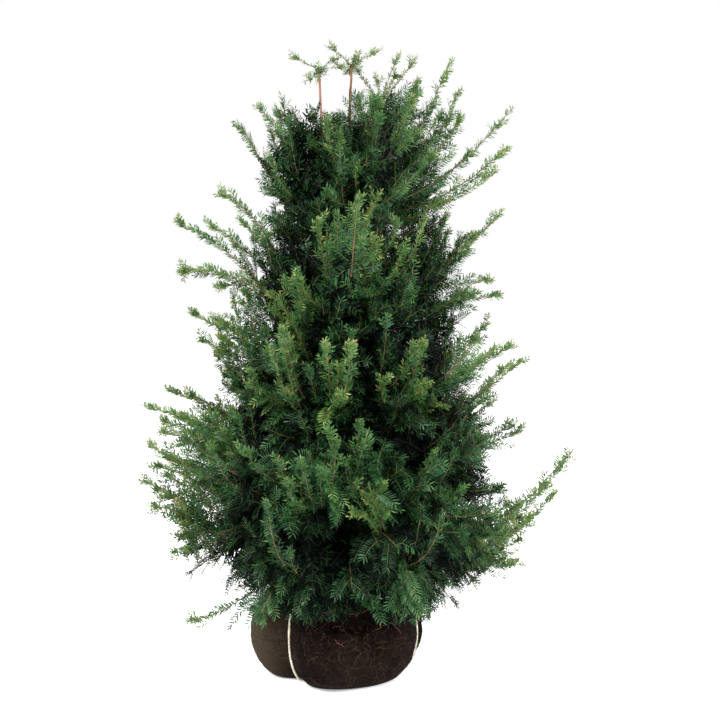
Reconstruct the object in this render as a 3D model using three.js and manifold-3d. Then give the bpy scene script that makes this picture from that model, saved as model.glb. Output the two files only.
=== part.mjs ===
// English yew, a nursery plant dug with its root ball. A leaning trunk carries tiers of boughs, and
// each bough ends in one mass of needled shoots. Three leaders stand out of the top. The root ball
// is wrapped in jute and bound by twine, which pulls it into four lobes.
// Millimetres, +Z up. The origin is the middle of the root ball's flat underside, on the trunk's
// axis, and bearings are degrees round +Z from +X.

import * as THREE from "three";
import { mergeVertices } from "three/addons/utils/BufferGeometryUtils.js";
import Module from "manifold-3d";

const wasm = await Module();
wasm.setup();

// ---- Driving dimensions ----

const CLEAR = 0.3; // gap kept between neighbouring pieces
const SEED = 1660;
const TIER_SEEDS = 97; // between one tier's seeds and the next's

// Root ball
const BALL_RADIUS = 232; // at its widest
const BALL_FOOT = 168; // radius of the flat underside
const BALL_WAIST = 110; // height at which it is widest
const BALL_RIM = 158; // height of the jute's edge at the front and back
const BALL_RIM_RISE = 30; // how much higher it stands at the sides
const BALL_RIM_RADIUS = 205;
const BALL_TOP = 250; // height of the soil at the trunk
// each tie's bearing and how far its twine pulls the ball in
const TIES = [[50, 30], [160, 30], [230, 44], [345, 18]];
const TIE_PULL = 0.6; // how far twine draws the jute's edge up, as a share of that
const TIE_SPREAD = 15; // degrees over which a lobe rounds into its crease
const TWINE_RADIUS = 3.2;
const TWINE_SLACK = 2.1; // gap under the twine

// Trunk and leaders
const TRUNK_TOP = 1602;
const TRUNK_LEAN = 38; // how far the top stands towards +X
const TRUNK_RADII = [[0, 21], [0.25, 17], [0.6, 10], [0.8, 4.6], [1, 3]]; // share of the height, radius
const FLARE = 13; // extra radius at the roots
const FLARE_HEIGHT = 55;
const LEADER_RADII = [[0, 6], [0.6, 4], [1, 2.8]];
// each side leader's foot on the trunk, its bend and its tip
const LEADERS = {
  left: { foot: 1050, bend: [-34, -46, 1190], tip: [-45, -36, 1585] },
  right: { foot: 1105, bend: [108, 12, 1225], tip: [112, 16, 1502] },
};
// the shoots that crown the trunk and each side leader, by their tips, and the space they keep to
const TUFTS = {
  centre: {
    from: -18,
    to: 88,
    tips: [[-2, -22, 1660], [74, 24, 1652], [50, -70, 1640], [30, 74, 1632]],
  },
  left: {
    from: -400,
    to: -18,
    tips: [[-109, -30, 1640], [-138, 20, 1556], [-96, -92, 1590], [-60, 70, 1622]],
  },
  right: {
    from: 88,
    to: 400,
    tips: [[118, 34, 1648], [196, 10, 1622], [160, -70, 1602], [166, 88, 1606], [225, -26, 1640]],
  },
};

const TUFT_STUB = 14; // from a leader's tip up to where its shoots fork
const TUFT_HEIGHT = 48; // of the shoot that carries the leader on
const TUFT_TWIG_RADIUS = 2.4;
const TUFT_SIDE_SHOOT = 30;

// Crown: [height, radius] of its outline, and [height, share] by which it is fuller towards +X
const OUTLINE = [
  [120, 240], [200, 310], [300, 385], [430, 430], [565, 410], [700, 375], [830, 352],
  [965, 330], [1100, 295], [1230, 302], [1360, 276], [1500, 232], [1580, 152], [1640, 80],
];
const FULLER = [[300, 0.1], [1230, 0.17], [1500, 0.26]];

// The surfaces between tiers, which rise outwards and wave round the trunk
const LAYERS = [
  { height: 300, rise: -0.42, wave: 0, phase: 0 },
  { height: 405, rise: 0.1, wave: 0.12, phase: 200 },
  { height: 565, rise: 0.38, wave: 0.13, phase: 80 },
  { height: 780, rise: 0.6, wave: 0.14, phase: 300 },
  { height: 1020, rise: 0.8, wave: 0.15, phase: 150 },
  { height: 1425, rise: 0.6, wave: 0.12, phase: 20 },
];
const WAVES = 3; // round the trunk
// Each tier's boughs, the bearing of the first, how far out its masses start, the shoots on each, and
// their arch: above 0 a spray that droops, below 0 a shoot whose tip sweeps up
const TIERS = [
  { name: "skirt", boughs: 6, first: 0, inner: 115, shoots: 3, arch: 0.1 },
  { name: "lower", boughs: 6, first: 28, inner: 105, shoots: 3, arch: -0.05 },
  { name: "middle", boughs: 5, first: 36, inner: 85, shoots: 3, arch: -0.08 },
  { name: "upper", boughs: 4, first: 8, inner: 70, shoots: 4, arch: -0.08 },
  { name: "crown", boughs: 3, first: 68, inner: 55, shoots: 5, arch: -0.08 },
];
const BOUGH_RADIUS = 9.5; // of the lowest boughs at the trunk
const BOUGH_THINNING = 1.2; // lost with each tier upwards
const BOUGH_TAPER = 0.55; // its radius at the mass, as a share of that at the trunk
const CELL_GAP = 2; // between a mass and the side of its space

// Shoots that outrun the crown: bearing, height and reach of each tip
const LONG_SHOOTS = [
  [186, 140, 390], [166, 288, 468], [190, 372, 416], [204, 477, 496], [180, 506, 516], [192, 565, 476],
  [170, 586, 524], [200, 658, 462], [187, 712, 493], [176, 747, 451], [200, 890, 365], [172, 951, 390],
  [192, 1066, 410], [184, 1186, 407], [160, 1204, 281], [196, 1262, 308], [175, 1496, 205],
  [4, 271, 467], [350, 366, 481], [354, 492, 581], [347, 612, 620], [6, 636, 501], [14, 715, 447],
  [2, 829, 492], [344, 872, 455], [12, 928, 422], [352, 1006, 415], [4, 1210, 424], [340, 1373, 454],
  [352, 1468, 440], [20, 1485, 355], [352, 1604, 295],
  [300, 800, 440], [276, 520, 490], [250, 1010, 420], [92, 600, 500], [70, 1180, 400], [110, 880, 430],
  [285, 1230, 380], [60, 420, 480],
];

// Needled shoots. A shoot's teeth stand for its side shoots, and near its tip for its needles
const SIDE_SHOOT = 62;
const NEEDLE = 24;
const TOOTH_PITCH = 63;
const STEM_RADIUS = 4;
const TWIG_RADIUS = 2.8;
const TWIG_TIP_RADIUS = 1.3;
const LEAD = 90; // how far a mass's leading shoot may outrun the outline
const WIDTH_REACHED = 0.85; // share of half a mass's width that its shoots reach
const HEIGHT_REACHED = 0.84; // share of its height
const TIP_UNEVENNESS = 45; // how far in from the outline their tips may end
const CORE_INSET = 115; // from the outline in to a mass's dense core
const CORE_EDGE = 15; // how much further in its edges lie
const CORE_COLUMNS = 5;
const CORE_ROWS = 4;
const CORE_ROUGHNESS = 34; // how unevenly its outside lies
const TUSSOCK = 78; // how far its tussocks of short shoots stand out
const GOLDEN = 0.618; // spreads whatever is stepped by it
const DIVERGENCE = 40; // degrees between a shoot and the stem that it leaves
const SIDE_RANKS = [0, 2]; // teeth to the right and left
const ALL_RANKS = [0, 1, 2]; // and below
const FIRST_ROUND_TIER = 3; // the shoots of the tiers above are needled all round

// ---- Colours ----

const material = (color, roughness) => new THREE.MeshStandardMaterial({ color, roughness, metalness: 0 });
const BARK = material(0x5a3f2c, 0.8);
const YOUNG_BARK = material(0x8f5a40, 0.7);
const NEEDLES = [0x24402a, 0x2a4a2c, 0x315231, 0x385a33, 0x426539].map((c) => material(c, 0.55));
const TIP_NEEDLES = material(0x587a40, 0.55);
const JUTE = material(0x33261f, 0.95);
const TWINE = material(0xcfc4ac, 0.85);

// ---- Helpers ----

const radians = THREE.MathUtils.degToRad;
const lerp = THREE.MathUtils.lerp;
const UP = new THREE.Vector3(0, 0, 1);
const polar = (bearing, r, z) =>
  new THREE.Vector3(r * Math.cos(radians(bearing)), r * Math.sin(radians(bearing)), z);

// Straight lines between [at, value] rows.
function along(rows, x) {
  const next = rows.findIndex(([at]) => at >= x);
  if (next === 0) return rows[0][1];
  if (next < 0) return rows[rows.length - 1][1];
  const [x0, y0] = rows[next - 1];
  const [x1, y1] = rows[next];
  return lerp(y0, y1, (x - x0) / (x1 - x0));
}

// The same draws for the same seed, each from 0 up to 1.
function seeded(seed) {
  let state = seed >>> 0;
  return () => {
    state = (state + 0x6d2b79f5) >>> 0;
    let t = state;
    t = Math.imul(t ^ (t >>> 15), t | 1);
    t ^= t + Math.imul(t ^ (t >>> 7), t | 61);
    return ((t ^ (t >>> 14)) >>> 0) / 4294967296;
  };
}

// A closed three.js geometry as a manifold-3d solid, and back.
function solidOf(geometry) {
  const bare = new THREE.BufferGeometry().setAttribute("position", geometry.getAttribute("position"));
  bare.setIndex(geometry.getIndex());
  const merged = mergeVertices(bare, 1e-3);
  return new wasm.Manifold(
    new wasm.Mesh({
      numProp: 3,
      vertProperties: merged.attributes.position.array,
      triVerts: new Uint32Array(merged.index.array),
    }),
  );
}
function geometryOf(solid) {
  const mesh = solid.getMesh();
  const points = new Float32Array(mesh.numVert * 3);
  for (let i = 0; i < mesh.numVert; i++) {
    points.set(mesh.vertProperties.subarray(i * mesh.numProp, i * mesh.numProp + 3), i * 3);
  }
  const geometry = new THREE.BufferGeometry();
  geometry.setAttribute("position", new THREE.BufferAttribute(points, 3));
  geometry.setIndex(new THREE.BufferAttribute(mesh.triVerts, 1));
  const faceted = geometry.toNonIndexed();
  faceted.computeVertexNormals();
  return faceted;
}
const largest = (solid) => solid.decompose().sort((a, b) => b.volume() - a.volume())[0];

// Points and triangles as a closed geometry.
function geometryFrom(points, triangles) {
  const geometry = new THREE.BufferGeometry();
  geometry.setAttribute("position", new THREE.Float32BufferAttribute(points.flatMap((p) => p.toArray()), 3));
  geometry.setIndex(triangles.flat());
  return geometry;
}

// The tangent of a path, and two directions square to it that don't twist along the path.
function framesOf(path) {
  const chord = path(1).clone().sub(path(0)).normalize();
  const reference = Math.abs(chord.z) > 0.85 ? new THREE.Vector3(0, 1, 0) : UP;
  return (t) => {
    const step = 0.01;
    const tangent = path(Math.min(t + step, 1)).clone().sub(path(Math.max(t - step, 0))).normalize();
    const side = new THREE.Vector3().crossVectors(tangent, reference).normalize();
    const over = new THREE.Vector3().crossVectors(side, tangent);
    return { tangent, side, over };
  };
}

// A round limb: a cylinder whose rings are moved on to the path, with a radius that changes along it.
function limb(path, radius, sides, steps) {
  const geometry = new THREE.CylinderGeometry(1, 1, 1, sides, steps);
  const frame = framesOf(path);
  const position = geometry.getAttribute("position");
  const point = new THREE.Vector3();
  for (let i = 0; i < position.count; i++) {
    point.fromBufferAttribute(position, i);
    const t = point.y + 0.5;
    const { side, over } = frame(t);
    const r = radius(t);
    const moved = path(t).clone().addScaledVector(side, point.x * r).addScaledVector(over, point.z * r);
    position.setXYZ(i, moved.x, moved.y, moved.z);
  }
  return geometry;
}

// ---- Root ball and twine ----

// How far the ties pull the ball in at a bearing.
function crease(bearing) {
  return Math.max(
    ...TIES.map(([tie, bite]) => {
      const off = Math.abs(((bearing - tie + 540) % 360) - 180);
      return bite * Math.exp(-((off / TIE_SPREAD) ** 2));
    }),
  );
}

// The ball's section at a bearing, from the middle of the underside to the trunk, as [radius, height].
function ballSection(bearing) {
  const bite = crease(bearing);
  const rim = BALL_RIM + BALL_RIM_RISE * Math.cos(radians(bearing)) ** 2 + TIE_PULL * bite;
  const section = [[0, 0], [BALL_FOOT * 0.5, 0]];
  const bellySteps = 4;
  const shoulderSteps = 3;
  const soilSteps = 3;
  const flat = 52; // level soil at the trunk
  for (let i = 0; i <= bellySteps; i++) {
    const turn = (Math.PI / 2) * (i / bellySteps);
    const r = BALL_FOOT + (BALL_RADIUS - BALL_FOOT) * Math.sin(turn);
    section.push([r - bite, BALL_WAIST * (1 - Math.cos(turn))]);
  }
  for (let i = 1; i <= shoulderSteps; i++) {
    const turn = (Math.PI / 2) * (i / shoulderSteps);
    const r = BALL_RIM_RADIUS + (BALL_RADIUS - BALL_RIM_RADIUS) * Math.cos(turn);
    section.push([r - bite, BALL_WAIST + (rim - BALL_WAIST) * Math.sin(turn)]);
  }
  for (let i = 1; i <= soilSteps; i++) {
    const share = i / soilSteps;
    const r = lerp(BALL_RIM_RADIUS - bite, flat, share);
    section.push([r, lerp(rim, BALL_TOP, Math.sin((Math.PI / 2) * share))]);
  }
  section.push([0, BALL_TOP]);
  return section;
}

function ballGeometry() {
  const bearings = 36;
  const points = [];
  const triangles = [];
  const rings = ballSection(0).length;
  for (let i = 0; i < bearings; i++) {
    const bearing = (360 * i) / bearings;
    points.push(...ballSection(bearing).map(([r, z]) => polar(bearing, r, z)));
  }
  for (let i = 0; i < bearings; i++) {
    const here = i * rings;
    const next = ((i + 1) % bearings) * rings;
    for (let j = 0; j < rings - 1; j++) {
      if (j > 0) triangles.push([here + j, next + j, next + j + 1]);
      if (j < rings - 2) triangles.push([here + j, next + j + 1, here + j + 1]);
    }
  }
  // the ends of every section are the same two points
  const ends = triangles.map((t) =>
    t.map((v) => (v % rings === 0 ? 0 : v % rings === rings - 1 ? rings - 1 : v)),
  );
  return geometryFrom(points, ends);
}

// A strand follows the ball's section at its bearing from the middle of the underside up to the trunk.
function strandPath(bearing) {
  const off = TWINE_RADIUS + TWINE_SLACK;
  const collar = trunkRadius(0) + off;
  const section = ballSection(bearing).filter(([r]) => r > collar + off);
  const points = section.map(([r, z], i) => {
    const [r0, z0] = section[Math.max(i - 1, 0)];
    const [r1, z1] = section[Math.min(i + 1, section.length - 1)];
    const length = Math.hypot(r1 - r0, z1 - z0);
    return polar(bearing, r + (off * (z1 - z0)) / length, z - (off * (r1 - r0)) / length);
  });
  points.push(polar(bearing, collar, BALL_TOP + off));
  const curve = new THREE.CatmullRomCurve3(points.slice(2), false, "centripetal");
  return (t) => curve.getPointAt(t);
}

// The strands and the collar round the trunk, all thicker by extra.
function twine(extra) {
  const steps = 16;
  const sides = 5;
  const radius = () => TWINE_RADIUS + extra;
  const strands = TIES.map(([bearing]) => solidOf(limb(strandPath(bearing), radius, sides, steps)));
  const collar = new THREE.TorusGeometry(trunkRadius(0) + TWINE_RADIUS + TWINE_SLACK, radius(), sides, 14);
  collar.translate(0, 0, BALL_TOP + TWINE_RADIUS + TWINE_SLACK);
  return wasm.Manifold.union([...strands, solidOf(collar)]);
}

// ---- Trunk, leaders and boughs ----

function trunkPath(t) {
  const z = lerp(BALL_TOP + CLEAR, TRUNK_TOP, t);
  return new THREE.Vector3(TRUNK_LEAN * t ** 1.5, 9 * Math.sin(5 * t) * t, z);
}
const trunkShare = (z) => (z - BALL_TOP) / (TRUNK_TOP - BALL_TOP);
function trunkRadius(t) {
  const flare = Math.exp(-(t * (TRUNK_TOP - BALL_TOP)) / FLARE_HEIGHT);
  return along(TRUNK_RADII, t) + FLARE * flare;
}
function trunk(extra) {
  const sides = 8;
  const steps = 14;
  return solidOf(limb(trunkPath, (t) => trunkRadius(t) + extra, sides, steps));
}

function leaderPath({ foot, bend, tip }) {
  const curve = new THREE.QuadraticBezierCurve3(
    trunkPath(trunkShare(foot)),
    new THREE.Vector3(...bend),
    new THREE.Vector3(...tip),
  );
  return (t) => curve.getPoint(t);
}
function leader(plan, extra) {
  const sides = 6;
  const steps = 8;
  return solidOf(limb(leaderPath(plan), (t) => along(LEADER_RADII, t) + extra, sides, steps));
}

// ---- Spaces ----

// The crown's outline radius at a height and bearing.
function outline(z, bearing) {
  return along(OUTLINE, z) * (1 + along(FULLER, z) * Math.cos(radians(bearing)));
}

function surface({ height, rise, wave, phase }, r, bearing) {
  return height + r * (rise + wave * Math.cos(radians(WAVES * bearing + phase)));
}
const bearingOf = (p) => THREE.MathUtils.radToDeg(Math.atan2(p.y, p.x));

// Each mass keeps to a wedge of one tier, between two upright planes and the tier's two surfaces.
function spaceOf(tierIndex, index) {
  const tier = TIERS[tierIndex];
  const bearing = tier.first + (360 * index) / tier.boughs;
  const half = 180 / tier.boughs;
  const outwards = polar(bearing, 1, 0);
  const across = polar(bearing + 90, 1, 0);
  const low = (r, b) => surface(LAYERS[tierIndex], r, b) + CELL_GAP;
  const high = (r, b) => surface(LAYERS[tierIndex + 1], r, b) - CELL_GAP;
  // a point by its share of the width, -1 to 1, its radius and its share of the height, 0 to 1
  const at = (widthShare, r, share) => {
    const b = bearing + widthShare * half;
    return polar(b, r, lerp(low(r, b) + CELL_GAP, high(r, b) - CELL_GAP, share));
  };
  return {
    half,
    holds(p) {
      const r = Math.hypot(p.x, p.y);
      const u = p.dot(outwards);
      const side = u * Math.sin(radians(half)) - Math.abs(p.dot(across)) * Math.cos(radians(half));
      const between = p.z > low(r, bearingOf(p)) && p.z < high(r, bearingOf(p));
      return side > CELL_GAP && u > tier.inner - CELL_GAP && between;
    },
    at,
    // The same, but with the radius given as how far it lies in from the crown's outline.
    within(widthShare, share, inset) {
      let r = tier.inner;
      for (let i = 0; i < 5; i++) {
        const p = at(widthShare, r, share);
        r = Math.max(outline(p.z, bearing + widthShare * half) - inset, tier.inner + 20);
      }
      return at(widthShare, r, share);
    },
    inner: at(0, tier.inner, 0.4),
    // neighbouring boughs leave the trunk at different heights
    foot: lerp(LAYERS[tierIndex].height, LAYERS[tierIndex + 1].height, index % 2 ? 0.46 : 0.3),
  };
}

// ---- Needled shoots ----

// A three-sided twig with a bare foot. Each step of a toothed side rises to a tooth that points
// forwards. Ranks are the sides that carry teeth: 0 and 2 lie to the right and left, 1 below. A tooth
// that would leave the space is shortened, and null is returned where that isn't enough.
function needledShoot(path, { bare, ranks, radius, sideShoot, holds }) {
  const shortest = 5;
  const shortening = 0.7;
  const forwards = 0.75; // how far a tooth leans towards the tip
  const lastTooth = 0.96; // share of the length
  const length = path(0).distanceTo(path(1));
  const steps = Math.max(2, Math.round((length * (1 - bare)) / TOOTH_PITCH));
  const frame = framesOf(path);
  const shares = [0];
  for (let i = 0; i <= steps; i++) shares.push(lerp(bare, lastTooth, i / steps));
  const corners = [90, -30, -150];
  const points = [];
  const triangles = [[0, 2, 1]];
  shares.forEach((t) => {
    const { side, over } = frame(t);
    const r = lerp(radius, TWIG_TIP_RADIUS, t);
    corners.map(radians).forEach((turn) => {
      const p = path(t).clone().addScaledVector(side, r * Math.cos(turn));
      points.push(p.addScaledVector(over, r * Math.sin(turn)));
    });
  });
  for (let i = 0; i < steps + 1; i++) {
    for (let k = 0; k < 3; k++) {
      const [a, b] = [i * 3 + k, i * 3 + ((k + 1) % 3)];
      const [c, d] = [b + 3, a + 3];
      if (i === 0 || !ranks.includes(k)) {
        triangles.push([a, b, c], [a, c, d]);
        continue;
      }
      const t = (shares[i] + shares[i + 1]) / 2;
      const { tangent, side, over } = frame(t);
      const turn = radians(corners[k] - 60);
      const out = side.clone().multiplyScalar(Math.cos(turn)).addScaledVector(over, Math.sin(turn));
      out.addScaledVector(tangent, forwards).normalize();
      const uneven = (i + k) % 2 ? 1 : 0.72;
      const droop = k === 1 ? 0.5 : 1; // the lower rank is shorter
      let tooth = lerp(sideShoot, NEEDLE, (i - 1) / steps) * uneven * droop;
      let apex = path(t).clone().addScaledVector(out, tooth);
      while (!holds(apex) && tooth > shortest) {
        tooth *= shortening;
        apex = path(t).clone().addScaledVector(out, tooth);
      }
      points.push(apex);
      const e = points.length - 1;
      triangles.push([a, b, e], [b, c, e], [c, d, e], [d, a, e]);
    }
  }
  const end = (steps + 1) * 3;
  points.push(path(1));
  const tip = points.length - 1;
  triangles.push([end, end + 1, tip], [end + 1, end + 2, tip], [end + 2, end, tip]);
  return points.every(holds) ? solidOf(geometryFrom(points, triangles)) : null;
}

// From a foot to a tip, arched by a share of its length.
function archedPath(foot, tip, arch) {
  const middle = foot.clone().lerp(tip, 0.5);
  middle.z += 2 * arch * foot.distanceTo(tip);
  const curve = new THREE.QuadraticBezierCurve3(foot, middle, tip);
  return (t) => curve.getPoint(t);
}

// ---- Boughs and masses ----

// A bough and its mass's stem are one line, which leaves the trunk and ends in the leading shoot.
function boughLine(tier, space, index) {
  const foot = trunkPath(trunkShare(space.foot));
  const tip = space.within(0, tier.arch > 0 ? 0.35 : 0.62, -LEAD * ((index * GOLDEN) % 1));
  const bend = space.inner.clone().lerp(tip, 0.5);
  bend.z += tier.arch * 2 * space.inner.distanceTo(tip);
  const curve = new THREE.CatmullRomCurve3([foot, space.inner, bend, tip], false, "centripetal");
  let meet = 0;
  while (curve.getPointAt(meet).distanceTo(foot) < space.inner.distanceTo(foot)) meet += 0.002;
  return { at: (t) => curve.getPointAt(t), meet, length: curve.getLength() };
}
const part = (line, from, to) => (t) => line.at(lerp(from, to, t));

function boughOf(tierIndex, line) {
  const sides = 5;
  const steps = 3;
  const thick = BOUGH_RADIUS - BOUGH_THINNING * tierIndex;
  const radius = (t) => lerp(thick, BOUGH_TAPER * thick, t);
  return solidOf(limb(part(line, 0, line.meet), radius, sides, steps));
}

// The dense inside of a mass: a wedge with an uneven outside, on which short shoots stand in tussocks.
function core(space, tier, random) {
  const points = [];
  const triangles = [];
  const rows = CORE_ROWS;
  const columns = CORE_COLUMNS;
  const width = 0.97; // share of the space's width
  const backEdges = [0.92, 0.08]; // the top and bottom of its back, as shares of the height
  const lean = tier.arch > 0 ? -0.25 : 0.55; // of its tussocks, upwards
  const scatter = 0.7; // how far each leans its own way
  const inner = tier.inner + 2 * CELL_GAP;
  for (let i = 0; i <= columns; i++) {
    const widthShare = width * ((2 * i) / columns - 1);
    for (let j = 0; j <= rows; j++) {
      const edge = i === 0 || i === columns || j === 0 || j === rows;
      const inset = CORE_INSET + CORE_ROUGHNESS * (random() - 0.5) + (edge ? CORE_EDGE : 0);
      points.push(space.within(widthShare, j / rows, inset));
    }
    const back = inner / Math.cos(radians(widthShare * space.half));
    points.push(...backEdges.map((share) => space.at(widthShare, back, share)));
  }
  const ring = rows + 3;
  for (let i = 0; i < columns; i++) {
    for (let j = 0; j < ring; j++) {
      const [a, b] = [i * ring + j, i * ring + ((j + 1) % ring)];
      const [c, d] = [b + ring, a + ring];
      if (j >= rows) {
        triangles.push([a, c, b], [a, d, c]);
        continue;
      }
      const middle = points[a].clone().add(points[b]).add(points[c]).add(points[d]).multiplyScalar(0.25);
      const out = new THREE.Vector3(middle.x, middle.y, 0).normalize();
      out.z = lean;
      out.add(new THREE.Vector3(random() - 0.5, random() - 0.5, random() - 0.5).multiplyScalar(scatter));
      let reach = TUSSOCK * (0.6 + 0.6 * random());
      let apex = middle.clone().addScaledVector(out.normalize(), reach);
      while (!space.holds(apex)) {
        reach *= 0.8;
        apex = middle.clone().addScaledVector(out, reach);
      }
      points.push(apex);
    }
  }
  const body = points.length - columns * rows;
  for (let i = 0; i < columns; i++) {
    for (let j = 0; j < rows; j++) {
      const [a, b] = [i * ring + j, i * ring + j + 1];
      const [c, d] = [b + ring, a + ring];
      const e = body + i * rows + j;
      triangles.push([b, a, e], [c, b, e], [d, c, e], [a, d, e]);
    }
  }
  const last = columns * ring;
  for (let j = 1; j < ring - 1; j++) triangles.push([0, j, j + 1], [last, last + j + 1, last + j]);
  return solidOf(geometryFrom(points, triangles));
}

// Where on the line a shoot has to leave so that it diverges from the line by the set angle.
function footFor(line, tip) {
  const first = line.meet + 0.08;
  const last = 0.85;
  let foot = first;
  for (let t = first; t < last; t += 0.02) {
    const direction = line.at(t + 0.01).clone().sub(line.at(t));
    if (THREE.MathUtils.radToDeg(direction.angleTo(tip.clone().sub(line.at(t)))) < DIVERGENCE) foot = t;
  }
  return line.at(foot);
}

// One mass: its core, the leading shoot on its stem, shoots spread through its space and those long
// shoots whose tips lie in it. Whatever would touch a limb is left out.
function massOf(tierIndex, index, line, limbs) {
  const tier = TIERS[tierIndex];
  const space = spaceOf(tierIndex, index);
  const random = seeded(SEED + TIER_SEEDS * tierIndex + index);
  const { holds } = space;
  const ranks = tierIndex < FIRST_ROUND_TIER ? SIDE_RANKS : ALL_RANKS;
  const twig = { bare: 0.3, ranks, radius: TWIG_RADIUS, sideShoot: SIDE_SHOOT, holds };
  const inside = core(space, tier, random);
  const stem = part(line, line.meet + (2 * CLEAR) / line.length, 1);
  const shoots = [needledShoot(stem, { ...twig, bare: 0.5, radius: STEM_RADIUS })];
  for (let i = 0; i < tier.shoots; i++) {
    // the tips are spread over the width and height of the space, each a little off its place
    const place = ((2 * i + 1) / tier.shoots - 1) * WIDTH_REACHED;
    const widthShare = place + 0.16 * (random() - 0.5);
    const share = 0.5 + HEIGHT_REACHED * (((i * GOLDEN + 0.3 * random()) % 1) - 0.5);
    const tip = space.within(widthShare, share, TIP_UNEVENNESS * random());
    shoots.push(needledShoot(archedPath(footFor(line, tip), tip, tier.arch), twig));
  }
  for (const [bearing, height, reach] of LONG_SHOOTS) {
    const tip = polar(bearing, reach, height);
    if (!holds(tip)) continue;
    const path = archedPath(footFor(line, tip), tip, tier.arch);
    shoots.push(needledShoot(path, { ...twig, ranks: SIDE_RANKS, sideShoot: 0.7 * SIDE_SHOOT }));
  }
  const clear = shoots.filter((shoot) => shoot && shoot.intersect(limbs).isEmpty());
  return largest(wasm.Manifold.union([inside, ...clear]).subtract(limbs));
}

// The shoots that crown a leader, which fork from a stub on its tip.
function tuftOf({ from, to, tips }, leaderTip, limbs) {
  const holds = (p) => {
    const floor = surface(LAYERS[LAYERS.length - 1], Math.hypot(p.x, p.y), bearingOf(p));
    return p.x > from + CELL_GAP && p.x < to - CELL_GAP && p.z > floor + CELL_GAP;
  };
  const foot = leaderTip.clone().add(new THREE.Vector3(0, 0, 2 * CLEAR));
  const fork = foot.clone().addScaledVector(UP, TUFT_STUB);
  const end = foot.clone().addScaledVector(UP, TUFT_HEIGHT);
  const twig = { bare: 0.2, ranks: ALL_RANKS, radius: TUFT_TWIG_RADIUS, sideShoot: TUFT_SIDE_SHOOT, holds };
  const shoots = tips.map((tip) => needledShoot(archedPath(fork, new THREE.Vector3(...tip), -0.04), twig));
  shoots.push(needledShoot(archedPath(foot, end, 0), twig));
  return largest(wasm.Manifold.union(shoots.filter((shoot) => shoot && shoot.intersect(limbs).isEmpty())));
}

// ---- Assembly ----

const group = new THREE.Group();
function add(name, solid, look) {
  const mesh = new THREE.Mesh(geometryOf(solid), look);
  mesh.name = name;
  group.add(mesh);
}

const aroundTrunk = trunk(2 * CLEAR);
const leaders = Object.entries(LEADERS);
const limbs = wasm.Manifold.union([aroundTrunk, ...leaders.map(([, plan]) => leader(plan, 2 * CLEAR))]);

add("root_ball", solidOf(ballGeometry()), JUTE);
add("ties", twine(0), TWINE);
add("trunk", trunk(0), BARK);
for (const [name, plan] of leaders) {
  add(`leader_${name}`, largest(leader(plan, 0).subtract(aroundTrunk)), YOUNG_BARK);
  add(`needles_top_${name}`, tuftOf(TUFTS[name], new THREE.Vector3(...plan.tip), limbs), TIP_NEEDLES);
}
add("needles_top_centre", tuftOf(TUFTS.centre, trunkPath(1), limbs), TIP_NEEDLES);

TIERS.forEach((tier, tierIndex) => {
  for (let index = 0; index < tier.boughs; index++) {
    const line = boughLine(tier, spaceOf(tierIndex, index), index);
    const bough = largest(boughOf(tierIndex, line).subtract(aroundTrunk));
    add(`bough_${tier.name}_${index + 1}`, bough, BARK);
    add(`needles_${tier.name}_${index + 1}`, massOf(tierIndex, index, line, limbs), NEEDLES[tierIndex]);
  }
});

export default group;
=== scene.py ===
# English yew, dug from a nursery with its root ball. A leaning trunk carries tiers of boughs, each
# bough ends in a mass of needled shoots, and the root ball is wrapped in jute and bound with twine.

import math

import bpy
import numpy as np
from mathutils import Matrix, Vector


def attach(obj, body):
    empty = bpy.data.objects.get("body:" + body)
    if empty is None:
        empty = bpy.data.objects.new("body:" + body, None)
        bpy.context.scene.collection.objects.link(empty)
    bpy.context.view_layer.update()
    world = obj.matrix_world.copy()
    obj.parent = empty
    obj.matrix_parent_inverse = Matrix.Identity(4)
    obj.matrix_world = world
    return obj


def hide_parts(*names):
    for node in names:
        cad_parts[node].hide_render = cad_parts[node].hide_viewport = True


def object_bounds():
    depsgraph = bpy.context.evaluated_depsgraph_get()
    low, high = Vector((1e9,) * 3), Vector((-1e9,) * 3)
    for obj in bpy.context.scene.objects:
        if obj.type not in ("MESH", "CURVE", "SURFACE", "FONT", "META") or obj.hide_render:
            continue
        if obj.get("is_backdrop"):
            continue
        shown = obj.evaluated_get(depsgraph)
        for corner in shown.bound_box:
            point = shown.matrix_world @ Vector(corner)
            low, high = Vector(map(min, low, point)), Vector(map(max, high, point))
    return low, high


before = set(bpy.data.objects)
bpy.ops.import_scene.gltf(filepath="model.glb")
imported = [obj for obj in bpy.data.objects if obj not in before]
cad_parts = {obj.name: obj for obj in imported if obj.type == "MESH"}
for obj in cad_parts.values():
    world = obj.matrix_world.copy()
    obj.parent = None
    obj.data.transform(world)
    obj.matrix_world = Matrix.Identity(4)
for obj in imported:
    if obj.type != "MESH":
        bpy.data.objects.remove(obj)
cad_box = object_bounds()

# ---- The view ----
# The plant is seen from its -Y side, from a little above the middle of its height, with the camera
# tipped down slightly. Colours come out as they are painted.

CAMERA_PLACE = (0.06, -3.0, 1.03)
CAMERA_TIP_DEG = 3.76
LENS_MM = 56.45
SENSOR_MM = 36

camera_data = bpy.data.cameras.new("view")
camera_data.lens = LENS_MM
camera_data.sensor_width = SENSOR_MM
camera = bpy.data.objects.new("view", camera_data)
camera.location = CAMERA_PLACE
camera.rotation_euler = (math.radians(90 - CAMERA_TIP_DEG), 0, 0)
bpy.context.collection.objects.link(camera)
bpy.context.scene.camera = camera
bpy.context.scene.view_settings.view_transform = "Standard"

# ---- Jute wrap ----
# Soft dark jute holds the root ball's peaty soil and stands open round the trunk. Four strands of
# twine pull it into lobes, and its underside is flat from standing. Millimetres, as in all sections.

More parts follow.
